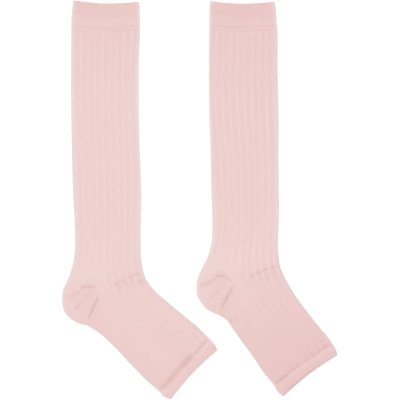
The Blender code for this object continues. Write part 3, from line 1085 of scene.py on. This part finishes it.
@dataclass(frozen=True)
class KnitFinish:
    """The look of one kind of knit. A noise's two numbers are its scale and its detail."""

    name: str
    streakiness: float
    pale: Color = (0.812, 0.613, 0.598, 1.0)
    deep: Color = (0.768, 0.531, 0.518, 1.0)
    # The colour of the shade painted into creases
    seam: Color = (0.690, 0.440, 0.420, 1.0)
    # The colour of the sheen painted on the folds: a paler, greyer yarn
    fold: Color = (0.765, 0.675, 0.668, 1.0)
    # The colour of the shadow painted on the toe's lip
    lip: Color = (0.50, 0.435, 0.425, 1.0)
    patchiness: float = 0.35
    # How strongly the sheen is painted on the folds
    fold_sheen_share: float = 0.85
    # How much shade is painted into the gaps between the stitches
    stitch_gap_shade: float = 0.07
    fuzziness: float = 0.085
    patch_contrast: float = 0.03
    valley_shade: float = 0.024
    fold_shade: float = 0.065
    wander_noise: tuple[float, float] = (0.35, 2.0)
    cloud_noise: tuple[float, float] = (22.0, 3.0)
    fuzz_noise: tuple[float, float] = (900.0, 2.0)
    streak_noise: tuple[float, float] = (1.0, 2.0)
    patch_noise: tuple[float, float] = (45.0, 2.0)
    streak_squeeze: tuple[float, float] = (0.06, 0.7)
    wale_wander: float = 0.7
    course_wander: float = 1.1
    stitch_slant: float = 1.1
    stitch_gap: float = 0.65
    purl_gap: float = 0.25
    purl_start: float = 0.35
    purl_onset: float = 3.0
    fuzz_height: float = 0.5
    stitch_depth: float = 0.00025
    stitch_strength: float = 0.45
    roughness: float = 0.92
    specular: float = 0.2
    sheen: float = 0.25
    sheen_roughness: float = 0.45
    sheen_tint: Color = (1.0, 0.96, 0.95, 1.0)

    def stitch_height(self, shader: Shader, wale: Field, course: Field) -> Field:
        """How high the yarn stands, from 0 to 1: knit stitches, and purl between the ribs.

        Args:
            shader: The material's nodes.
            wale: The number of wales round the sock.
            course: The number of courses along it.

        Returns:
            The height over the surface.
        """
        turn = 2.0 * math.pi
        across = abs(wale.fraction() - 0.5)
        leg = (across * turn).sine()
        slant = ((course - across * self.stitch_slant) * turn).cosine() * 0.5 + 0.5
        knit = leg * (slant * self.stitch_gap + (1.0 - self.stitch_gap))
        bump = (course * turn).cosine() * 0.5 + 0.5
        purl = bump * ((wale * turn).cosine() * self.purl_gap + (1.0 - self.purl_gap))
        return knit + (purl - knit) * ((shader.mark("valley") - self.purl_start) * self.purl_onset).limited()

    def yarn_color(self, shader: Shader, place: Socket) -> Socket:
        """The yarn's colour, which follows the marks and comes and goes in clouds.

        Args:
            shader: The material's nodes.
            place: The place on the object.

        Returns:
            The colour, before the stitches shade it.
        """
        cloud = shader.noise(place, *self.cloud_noise)
        blush = shader.mark("blush") + (cloud - 0.5) * self.patchiness
        yarn = shader.blend(blush.limited(), self.pale, self.deep)
        # Shade painted into the creases
        color = shader.blend(shader.mark("seam").limited(), yarn, self.seam)
        # Sheen painted on the folded edges, as a paler, greyer yarn
        color = shader.blend(shader.mark("fold") * self.fold_sheen_share, color, self.fold)
        # The shadow painted on the toe's lip
        return shader.blend(shader.mark("lip"), color, self.lip)

    def material(self) -> bpy.types.Material:
        """Makes the material.

        Returns:
            A matt, slightly fuzzy knit.
        """
        material = bpy.data.materials.new(self.name)
        shader = Shader(material)
        stitch = shader.node("ShaderNodeUVMap", {"uv_map": "stitches"}).outputs["UV"]
        place = shader.node("ShaderNodeTexCoord").outputs["Object"]
        parts = shader.node("ShaderNodeSeparateXYZ", None, {0: stitch}).outputs
        wander = shader.noise(stitch, *self.wander_noise) - 0.5
        wale = Field(shader, parts[0]) + wander * self.wale_wander
        course = Field(shader, parts[1]) + wander * self.course_wander
        height = self.stitch_height(shader, wale, course)
        fuzz = shader.noise(place, *self.fuzz_noise)
        across, along = self.streak_squeeze
        streaks = shader.node("ShaderNodeCombineXYZ", None, {0: wale * across, 1: course * along})
        streak = shader.noise(streaks.outputs[0], *self.streak_noise)
        patch = shader.noise(place, *self.patch_noise)
        # Shade painted into the gaps between stitches, with the yarn's own fuzz, streaks and patches
        light = 1.0 - (1.0 - height) * self.stitch_gap_shade + (fuzz - 0.5) * self.fuzziness
        light = light + (streak - 0.5) * self.streakiness + (patch - 0.5) * self.patch_contrast
        # Shade painted into the rib valleys, light painted on the strongest crests, and shade painted along
        # the folds
        light = light * (1.0 - shader.mark("valley") * self.valley_shade)
        light = light * (1.0 - shader.mark("fold_shade") * self.fold_shade)
        relief = {"Distance": self.stitch_depth, "Height": height + fuzz * self.fuzz_height}
        bump = shader.node("ShaderNodeBump", None, {"Strength": self.stitch_strength} | relief)
        look = {
            "Base Color": shader.dimmed(self.yarn_color(shader, place), light),
            "Roughness": self.roughness,
            "Specular IOR Level": self.specular,
            "Sheen Weight": self.sheen,
            "Sheen Roughness": self.sheen_roughness,
            "Sheen Tint": self.sheen_tint,
            "Normal": bump.outputs["Normal"],
        }
        shader.show("ShaderNodeBsdfPrincipled", look)
        return material


FINISHES = {
    Part.CUFF: KnitFinish(name="doubled_cuff", streakiness=0.13),
    Part.BODY: KnitFinish(name="ribbed_body", streakiness=0.02),
    Part.TOE_BAND: KnitFinish(name="doubled_toe_band", streakiness=0.05),
}


@dataclass(frozen=True)
class Net:
    """Where the columns of a ring cross some loops, before ribs and creases raise them.

    spots are plan points on the flat part of the layers, and felt those that the folds' outer
    face has there. outward is the way out of the nearer fold, cosine how far a point goes that
    way, and above 0 on the under layer and 1 on the top one. round_share is the share of the
    width from the back edge, below 0 on the under layer, and across the same without its
    sign. width is the sock's width there.
    """

    spots: Array
    felt: Array
    outward: Array
    cosine: Array
    above: Array
    round_share: Array
    across: Array
    width: Array

    @classmethod
    def laid(cls, ring: Ring, lines: Array, radius: float) -> "Net":
        """Lays the columns of a ring over loops.

        Args:
            ring: The columns.
            lines: The sampled line across the sock at each loop.
            radius: The folds' outer radius.

        Returns:
            The net. Its width is measured forward of the heel's corner, so that leg and foot
            agree where they meet.
        """
        base, turn = ring.share[None, :], ring.turn[None, :]
        samples = LINE_SAMPLES[: lines.shape[1]]
        at_back = base < CORNER_SHARE
        outward, inset = [], []
        for edge, inner in ((lines[:, 0], lines[:, 1]), (lines[:, -1], lines[:, -2])):
            length = np.linalg.norm(edge - inner, axis=1)[:, None]
            outward.append(((edge - inner) / length)[:, None])
            inset.append(radius * samples[1] / length)
        outward = np.where(at_back[..., None], *outward)
        behind = inset[0] + (CORNER_SHARE - inset[0]) * base / CORNER_SHARE
        ahead = (base - CORNER_SHARE) / (1.0 - CORNER_SHARE)
        ahead = CORNER_SHARE + (1.0 - inset[1] - CORNER_SHARE) * ahead
        share = np.where(base <= CORNER_SHARE, behind, ahead)
        axes = [
            [np.interp(row, samples, line[:, axis]) for row, line in zip(share, lines)]
            for axis in (0, 1)
        ]
        spots = np.stack(axes, axis=-1)

        on_fold = np.abs(turn) < STEEPEST_FOLD_TURN
        cosine = np.cos(turn) * on_fold
        past_edge = np.where(at_back, *inset) * turn / (math.pi / 2.0)
        round_share = np.where(at_back, past_edge, 1.0 - past_edge)
        round_share = np.where(on_fold, round_share, np.where(turn > 0.0, share, -share))
        across = np.abs(round_share)
        across = np.where(across > 1.0, 2.0 - across, across)
        first = CORNER_SAMPLE if lines.shape[1] > CORNER_SAMPLE + 1 else 0
        span = np.linalg.norm(np.diff(lines[:, first:], axis=1), axis=2).sum(axis=1)
        return cls(
            spots=spots,
            felt=spots + outward * (radius * cosine)[..., None],
            outward=outward,
            cosine=cosine,
            above=(1.0 + np.sin(turn)) / 2.0,
            round_share=round_share,
            across=across,
            width=span[:, None] / (samples[-1] - samples[first]),
        )


@dataclass
class Tube:
    """A stretch of a sock: a flattened tube of knit with an outer and an inner face."""

    plan: SockPlan
    ring: Ring
    wall: float

    def __post_init__(self) -> None:
        """Works out the lines that the stretch follows."""
        self.run = LineRun(self.lines())

    @property
    def fold_radius(self) -> float:
        """The height of the middle of the hollow, which is also the folds' outer radius."""
        return self.wall + HOLLOW / 2

    @property
    def along_foot(self) -> bool:
        """Whether the wales run along the foot, and not down the leg."""
        return False

    def lines(self) -> list[Array]:
        """The sampled lines across the stretch, from the cuff's side to the toe's side."""
        raise NotImplementedError

    def end_drops(self) -> tuple[float, float]:
        """How far the wall draws in beyond the stretch's first and last line."""
        return 0.0, 0.0

    def gape(self, place: Array, share: Array) -> Array:
        """How far the top layer is lifted off the under one. Only bands gape."""
        return np.zeros(np.broadcast_shapes(place.shape, share.shape))

    def lip(self, place: Array, share: Array) -> Array:
        """The shadow painted at the lip of an open end. Only a toe band has such a lip."""
        return np.zeros(np.broadcast_shapes(place.shape, share.shape))

    def rib(self, share: Array, place: Array) -> tuple[Array, Array, Array]:
        """How far the stretch is ribbed, from 0 to 1, and how high and how narrow its ribs are."""
        plain = np.zeros(np.broadcast_shapes(share.shape, place.shape))
        return plain, plain, plain

    def blush(self, spots: Array, share: Array, place: Array) -> Array:
        """How deep the pink is: palest above the heel, deepening to the toe and the sole.

        Args:
            spots: An x and a down for each spot.
            share: The share of the way across from the back edge.
            place: How far along the stretch it is.

        Returns:
            The depth, from 0 for the palest yarn to 1 for the deepest.
        """
        blush = self.plan.blush
        reach = self.plan.foot_reach(spots)
        leg = np.interp(spots[..., 1], blush.leg_downs, blush.leg_values)
        foot = np.interp(reach, blush.foot_reaches, blush.foot_values) + blush.sole * (0.5 - share)
        away = np.linalg.norm(spots - self.plan.heel_middle(HEEL_BLUSH_SHARE), axis=-1)
        heel = blush.heel * np.exp(-((away / HEEL_BLUSH_REACH) ** 2))
        return leg + (foot - leg) * eased(reach, *ANKLE_REACHES) + heel

    def fold(self, spots: Array, from_edge: Array) -> tuple[Array, Array]:
        """How much sheen and how much shade are painted on the knit along its folded edges.

        Args:
            spots: An x and a down for each spot.
            from_edge: How far each spot is from the nearer folded edge.

        Returns:
            The painted sheen, which pales and greys the yarn, and the painted shade, from 0 to 1.
            The foot's folds are narrower than the leg's and more shaded.
        """
        on_foot = eased(self.plan.foot_reach(spots), *ANKLE_REACHES)
        reach = LEG_FOLD_REACH + (FOOT_FOLD_REACH - LEG_FOLD_REACH) * on_foot
        painted_sheen = np.exp(-((from_edge / reach) ** 2))
        shaded = np.exp(-((from_edge / reach / SHADE_SPREAD) ** 2))
        shaded = shaded * (LEG_SHADE_SHARE + (1.0 - LEG_SHADE_SHARE) * on_foot)
        return painted_sheen * (1.0 - FOOT_SHEEN_LOSS * on_foot), shaded

    def stitches(self, spots: Array, ribs: Array) -> Array:
        """The wale and the course at spots, where so many ribs have been passed."""
        along = self.plan.foot_reach(spots) if self.along_foot else spots[..., 1]
        return np.stack((ribs * WALES_IN_RIB, along / COURSE_HEIGHT), axis=-1)

    def crown(self, spots: Array, place: Array) -> Array:
        """How far the top layer stands above the flat one, apart from ribs and creases."""
        length, start = SWELL_BEAT
        return SWELL.at(spots) * np.sin(spots[..., 1] / length + start) + RIPPLE.at(spots)

    def creased(self, spots: Array, between: Array) -> tuple[Array, Array]:
        """What all creases do together.

        Args:
            spots: An x and a down for each spot.
            between: How far each spot lies between the ribs, from 0 to 1.

        Returns:
            The height and the painted shade at each spot.
        """
        relief, seam = np.zeros(between.shape), np.zeros(between.shape)
        for crease in self.plan.creases:
            height, painted_shade = crease.relief(spots)
            kept = between if crease.between_ribs else 1.0
            relief += height * kept
            seam = np.maximum(seam, painted_shade * kept)
        return relief, seam

    def ribs_passed(self, net: Net) -> Array:
        """How many ribs lie between the first one and each point, round the sock.

        Args:
            net: Where the points lie.

        Returns:
            The number, which is whole on a rib's crest.
        """
        share = 1.0 - (1.0 - np.abs(net.round_share)) * np.maximum(net.width / RIB_SPAN, 1.0)
        share = np.where(net.round_share < 0.0, -share, share)
        share = share - self.plan.ribs.shift(net.felt[..., 1], net.across) / net.width
        return (share - self.plan.first_rib_share) / RIB_PITCH_SHARE

    def grid(self, loops: Loops) -> tuple[Array, dict[str, Array], Array]:
        """The points where the columns cross a run of loops.

        Args:
            loops: The loops.

        Returns:
            The points, the marks on them, and the wale and course at each.
        """
        place, outside = loops.place[:, None], loops.outside[:, None]
        radius = self.fold_radius
        net = Net.laid(self.ring, self.run.at(loops.place), radius)
        ribs = self.ribs_passed(net)
        ribbed, rib_height, sharpness = self.rib(net.across, place)
        crest = (0.5 + 0.5 * np.cos(2.0 * math.pi * ribs)) ** sharpness
        crest = crest * self.plan.vigour(np.round(ribs), net.felt[..., 1])
        between = (1.0 - crest) * ribbed
        # The creases' relief, and the shade painted along them
        relief, seam = self.creased(net.felt, between)
        top = self.crown(net.felt, place) + relief + crest * ribbed * rib_height
        under = UNDER_RIB_SHARE * np.maximum(between, 0.0) * rib_height
        under = under + np.maximum(-UNDER_CREASE_SHARE * relief, 0.0)
        drops = self.end_drops()
        drop = drops[0] * eased(-place, 0.0, 1.0) + drops[1] * eased(place - self.run.length, 0.0, 1.0)
        lift = net.above * top - (1.0 - net.above) * under - drop
        middle = HOLLOW / 2 + (radius - HOLLOW / 2 + lift) * outside
        height = radius + middle * np.sin(self.ring.turn) + net.above * self.gape(place, self.ring.share)
        points = self.plan.world(net.spots + net.outward * (middle * net.cosine)[..., None], height)
        # Sheen and shade painted along the folded edges
        painted_sheen, shaded = self.fold(net.felt, np.minimum(net.across, 1.0 - net.across) * net.width)
        marks = {
            "valley": between,
            "blush": self.blush(net.felt, net.across, place),
            "seam": seam * net.above,
            "fold": painted_sheen,
            "fold_shade": shaded,
            "lip": self.lip(place, net.across),
        }
        marks = {name: np.broadcast_to(values, ribs.shape) for name, values in marks.items()}
        return points, marks, self.stitches(net.felt, ribs)


@dataclass
class Band(Tube):
    """A doubled band of plain knit, with a rolled edge at each end and an open mouth."""

    rows: tuple[Row, ...]
    depth_of_pink: float
    mouth_at_toe: bool = False
    mouth_lift: float = 0.8
    roll: float = 0.25
    pale_hem: float = 0.4

    @property
    def along_foot(self) -> bool:
        """Whether this is a toe band."""
        return self.mouth_at_toe

    def lines(self) -> list[Array]:
        """The lines across the band."""
        return [row.points(LINE_SAMPLES) for row in self.rows]

    def from_mouth(self, place: Array) -> Array:
        """How far places are from the mouth, as a share of the band's depth."""
        share = place / self.run.length
        return 1.0 - share if self.mouth_at_toe else share

    def gape(self, place: Array, share: Array) -> Array:
        """The top layer is lifted at the mouth, most of all off its middle.

        Args:
            place: How far along the stretch it is.
            share: The share of the way across from the back edge.

        Returns:
            The lift.
        """
        rate, start = MOUTH_WAVE
        uneven = 1.0 + MOUTH_UNEVENNESS * np.sin(rate * share + start)
        lips = np.sin(math.pi * share) ** MOUTH_ROUNDNESS * uneven
        return self.mouth_lift * (1.0 - eased(self.from_mouth(place), 0.0, 1.0)) * lips

    def lip(self, place: Array, share: Array) -> Array:
        """A shadow is painted on a toe band's lip, most of all behind its middle.

        Args:
            place: How far along the stretch it is.
            share: The share of the way across from the back edge.

        Returns:
            The shade, from 0 to 1.
        """
        middle = LIP_END_SHARE + (1.0 - LIP_END_SHARE) * np.sin(math.pi * share**LIP_LEAN)
        shade = self.plan.blush.lip * self.mouth_at_toe * middle
        return shade * np.exp(-((np.maximum(self.run.length - place, 0.0) / LIP_REACH) ** 2))

    def crown(self, spots: Array, place: Array) -> Array:
        """The band is fullest just inside its two edges."""
        full = np.sin(math.pi * np.clip(self.from_mouth(place), 0.0, 1.0)) ** 0.5
        return self.roll * full + BAND_WAVES[0].at(spots) + BAND_WAVES[1].at(spots)

    def blush(self, spots: Array, share: Array, place: Array) -> Array:
        """Deep pink, and paler towards the end that is joined to the body."""
        paler = self.pale_hem * eased(self.from_mouth(place), *HEM_SHARES)
        return np.broadcast_to(self.depth_of_pink - paler, spots.shape[:-1])

    def add_to(self, surface: Surface) -> None:
        """Adds the band, closed round both of its rims.

        Args:
            surface: What it is added to.
        """
        length, half = self.run.length, self.wall / 2
        loops = Loops.flat(spaced(half, length - half, EDGE_STEP, BAND_STEP), 1.0)
        loops = loops.then(Loops.rim(length, half, True))
        loops = loops.then(Loops.flat(np.linspace(length - half, half, INNER_BAND_LOOPS), 0.0))
        loops = loops.then(Loops.rim(0.0, half, False).reversed())
        surface.add_grid(*self.grid(loops), (True, True))


class Leg(Tube):
    """The leg, ribbed all round down to the plain splice over the heel."""

    def lines(self) -> list[Array]:
        """The lines across the leg, down to the heel's upper line."""
        rows = (self.plan.cuff[-1], *self.plan.leg)
        return [*(row.points(LINE_SAMPLES) for row in rows), self.plan.course_line(self.plan.heel[0])]

    def end_drops(self) -> tuple[float, float]:
        """The leg's top edge goes in under the cuff."""
        return TUCK_DROP, 0.0

    def rib(self, share: Array, place: Array) -> tuple[Array, Array, Array]:
        """Ribs from below the cuff, which end at the splice except in the front half.

        Args:
            share: The share of the way across from the back edge.
            place: How far along the stretch it is.

        Returns:
            How far it is ribbed, from 0 to 1, and how high and how narrow the ribs are.
        """
        to_end = self.run.length - place
        splice = 1.0 - eased(to_end, *SPLICE_START)
        ribbed = eased(place, *RIB_START) * (1.0 - splice * (1.0 - eased(share, *FRONT_SHARES)))
        upper = np.broadcast_to(eased(to_end, 0.0, ANKLE_REACH), ribbed.shape)
        height = ANKLE_RIB_HEIGHT + (LEG_RIB_HEIGHT - ANKLE_RIB_HEIGHT) * upper
        return ribbed, height, INSTEP_RIB_SHARPNESS + (LEG_RIB_SHARPNESS - INSTEP_RIB_SHARPNESS) * upper

    def crown(self, spots: Array, place: Array) -> Array:
        """A small ridge lies between the cuff's edge and the first ribs."""
        ridge = RIDGE_HEIGHT * np.exp(-(((place - RIDGE_PLACE) / RIDGE_REACH) ** 2))
        return super().crown(spots, place) + ridge

    def add_to(self, surface: Surface) -> None:
        """Adds the leg, open where it meets the heel and the foot.

        Args:
            surface: What it is added to.
        """
        half = self.wall / 2
        loops = Loops.flat(np.linspace(self.run.length, half - TUCK, INNER_LEG_LOOPS), 0.0)
        loops = loops.then(Loops.rim(-TUCK, half, False).reversed())
        outer = spaced(half - TUCK, self.run.length, EDGE_STEP, LEG_STEP)
        loops = loops.then(Loops.flat(outer, 1.0))
        surface.add_grid(*self.grid(loops), (False, True))


class Foot(Tube):
    """The foot, ribbed over the instep and plain on the sole."""

    @property
    def along_foot(self) -> bool:
        """The foot's wales run along it."""
        return True

    def lines(self) -> list[Array]:
        """The lines across the foot, from the heel's lower line to the toe band."""
        rows = (*self.plan.foot, self.plan.toe_band[0])
        return [self.plan.course_line(self.plan.heel[-1]), *(row.points(LINE_SAMPLES) for row in rows)]

    def end_drops(self) -> tuple[float, float]:
        """The foot's end goes in under the toe band."""
        return 0.0, TUCK_DROP

    def rib(self, share: Array, place: Array) -> tuple[Array, Array, Array]:
        """Low, narrow ribs over the instep, which end just short of the toe band.

        Args:
            share: The share of the way across from the back edge.
            place: How far along the stretch it is.

        Returns:
            How far it is ribbed, from 0 to 1, and how high and how narrow the ribs are.
        """
        shape = np.broadcast_shapes(share.shape, place.shape)
        to_end = self.run.length - place
        ends = np.maximum(1.0 - eased(place, *INSTEP_START), 1.0 - eased(to_end, *INSTEP_END))
        height = INSTEP_RIB_HEIGHT + (ANKLE_RIB_HEIGHT - INSTEP_RIB_HEIGHT) * ends
        ribbed = eased(share, *FRONT_SHARES) * eased(to_end, *INSTEP_STOP)
        ribbed = ribbed * (MIDFOOT_RIB_SHARE + (1.0 - MIDFOOT_RIB_SHARE) * ends)
        return ribbed, np.broadcast_to(height, shape), np.full(shape, INSTEP_RIB_SHARPNESS)

    def add_to(self, surface: Surface) -> None:
        """Adds the foot, open where it meets the leg and the heel.

        Args:
            surface: What it is added to.
        """
        last, half = self.run.length + TUCK, self.wall / 2
        loops = Loops.flat(spaced(0.0, last - half, EDGE_STEP, FOOT_STEP), 1.0)
        loops = loops.then(Loops.rim(last, half, True))
        loops = loops.then(Loops.flat(np.linspace(last - half, 0.0, INNER_FOOT_LOOPS), 0.0))
        surface.add_grid(*self.grid(loops), (False, True))


class Heel(Tube):
    """The heel, a plain pocket whose lines fan out from its corner."""

    def lines(self) -> list[Array]:
        """The lines from the heel's folded edge to its corner."""
        return [self.plan.heel_line(edge) for edge in self.plan.heel]

    def stitches(self, spots: Array, ribs: Array) -> Array:
        """Wales run out along the heel's middle line.

        Args:
            spots: An x and a down for each spot.
            ribs: How many ribs have been passed, which is of no use on the plain heel.

        Returns:
            The wale and the course at each spot.
        """
        corner = self.plan.heel_middle(0.0)
        way = self.plan.heel_middle(1.0) - corner
        way = way / np.linalg.norm(way)
        courses = (spots - corner) @ way / COURSE_HEIGHT
        wales = (spots - corner) @ np.array((-way[1], way[0])) / WALE_WIDTH
        return np.stack((wales, courses), axis=-1)

    def add_to(self, surface: Surface) -> None:
        """Adds both faces of the pocket.

        Args:
            surface: What it is added to.
        """
        for loops, outside in ((HEEL_LOOPS, 1.0), (INNER_HEEL_LOOPS, 0.0)):
            places = np.linspace(0.0, self.run.length, loops)
            surface.add_grid(*self.grid(Loops.flat(places, outside)), (False, False))


@dataclass
class Sock:
    """One sock, with its cuff, its body and its toe band."""

    plan: SockPlan
    materials: dict[Part, bpy.types.Material]

    def add_piece(
        self,
        part: Part,
        tubes: tuple[Tube, ...],
        nodes: tuple[str, ...],
    ) -> None:
        """Makes a piece of cloth from its tubes, attaches it to the root, and hides the solids that it
        replaces.

        Args:
            part: Which piece it is.
            tubes: The stretches of knit that it is made of.
            nodes: The solids that it replaces, without the sock's name.
        """
        surface = Surface()
        for tube in tubes:
            tube.add_to(surface)
        piece = surface.make_object(f"{self.plan.name}_sock_{part.value}")
        piece.data.materials.append(self.materials[part])
        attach(piece, "root")
        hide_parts(*(f"{self.plan.name}_{node}" for node in nodes))
        log.info("%s: %d faces", piece.name, len(piece.data.polygons))

    def build(self) -> None:
        """Builds the cuff, the body and the toe band."""
        plan, ring, blush = self.plan, Ring.tube(), self.plan.blush
        cuff = Band(plan, ring, BAND_WALL, plan.cuff, blush.cuff)
        body = (
            Leg(plan, ring, BODY_WALL),
            Foot(plan, ring, BODY_WALL),
            Heel(plan, ring.pocket(), BODY_WALL),
        )
        toe = Band(
            plan,
            ring,
            BAND_WALL,
            plan.toe_band,
            blush.toe_band,
            mouth_at_toe=True,
            mouth_lift=0.5,
            pale_hem=0.45,
        )
        self.add_piece(Part.CUFF, (cuff,), ("cuff",))
        self.add_piece(Part.BODY, body, ("leg", "heel", "foot"))
        self.add_piece(Part.TOE_BAND, (toe,), ("toe_band",))


@dataclass(frozen=True)
class Studio:
    """The pale floor, the soft light and the camera, which looks straight down."""

    floor_half: float = 6.0
    floor_drop: float = 0.0003
    floor_white: float = 0.96
    floor_glow: float = 0.12
    zenith: float = 0.76
    horizon: float = 1.52
    key_strength: float = 0.5
    key_spread: float = 30.0
    key_way: tuple[float, float, float] = (0.50, -0.45, -1.0)
    lens: float = 85.0
    sensor: float = 36.0
    view_width: float = 0.5
    view_height: float = 0.003
    view_middle: tuple[float, float] = (0.001, -0.0001)

    def add_floor(self) -> None:
        """Lays the floor under the socks."""
        h = self.floor_half
        mesh = bpy.data.meshes.new("floor")
        corners = [(-h, -h), (h, -h), (h, h), (-h, h)]
        mesh.from_pydata([(x, y, -self.floor_drop) for x, y in corners], [], [(0, 1, 2, 3)])
        material = bpy.data.materials.new("pale_floor")
        shader = Shader(material)
        white = (*((self.floor_white,) * 3), 1.0)
        look = {"Base Color": white, "Roughness": 1.0, "Specular IOR Level": 0.0}
        glow = {"Emission Color": (1.0, 1.0, 1.0, 1.0), "Emission Strength": self.floor_glow}
        shader.show("ShaderNodeBsdfPrincipled", look | glow)
        mesh.materials.append(material)
        placed("floor", mesh)

    def add_light(self) -> None:
        """Surrounds the socks with a light tent, and adds a soft lamp from the upper left."""
        world = bpy.data.worlds.new("light_tent")
        shader = Shader(world)
        way = shader.node("ShaderNodeTexCoord").outputs["Generated"]
        up = shader.field("ShaderNodeSeparateXYZ", None, {0: way}, "Z").limited()
        tent = self.horizon + up * (self.zenith - self.horizon)
        white = (1.0, 1.0, 1.0, 1.0)
        shader.show("ShaderNodeBackground", {"Color": white, "Strength": tent}, "World")
        bpy.context.scene.world = world
        lamp = bpy.data.lights.new("soft_lamp", "SUN")
        lamp.energy = self.key_strength
        lamp.angle = math.radians(self.key_spread)
        key = placed("soft_lamp", lamp)
        key.rotation_mode = "QUATERNION"
        key.rotation_quaternion = Vector(self.key_way).to_track_quat("-Z", "Y")

    def add_camera(self) -> None:
        """Hangs the camera over the middle of the pair."""
        data = bpy.data.cameras.new("camera")
        data.lens = self.lens
        data.sensor_width = self.sensor
        camera = placed("camera", data)
        distance = self.view_width * self.lens / self.sensor
        camera.location = (*self.view_middle, self.view_height + distance)
        bpy.context.scene.camera = camera

    def build(self) -> None:
        """Sets up the studio."""
        self.add_floor()
        self.add_light()
        self.add_camera()
        bpy.context.scene.view_settings.view_transform = "Standard"
        log.info("studio ready")


def corners(box: tuple) -> list[list[float]]:
    """A box's two corners as plain lists."""
    return [list(corner) for corner in box]


def main() -> None:
    """Loads the frame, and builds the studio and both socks."""
    logging.basicConfig(level=logging.INFO, format="%(name)s: %(message)s")
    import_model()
    Studio().build()
    materials = {part: finish.material() for part, finish in FINISHES.items()}
    for plan in (LEFT_SOCK, RIGHT_SOCK):
        Sock(plan, materials).build()
    bpy.context.view_layer.update()


if __name__ == "__main__":
    main()
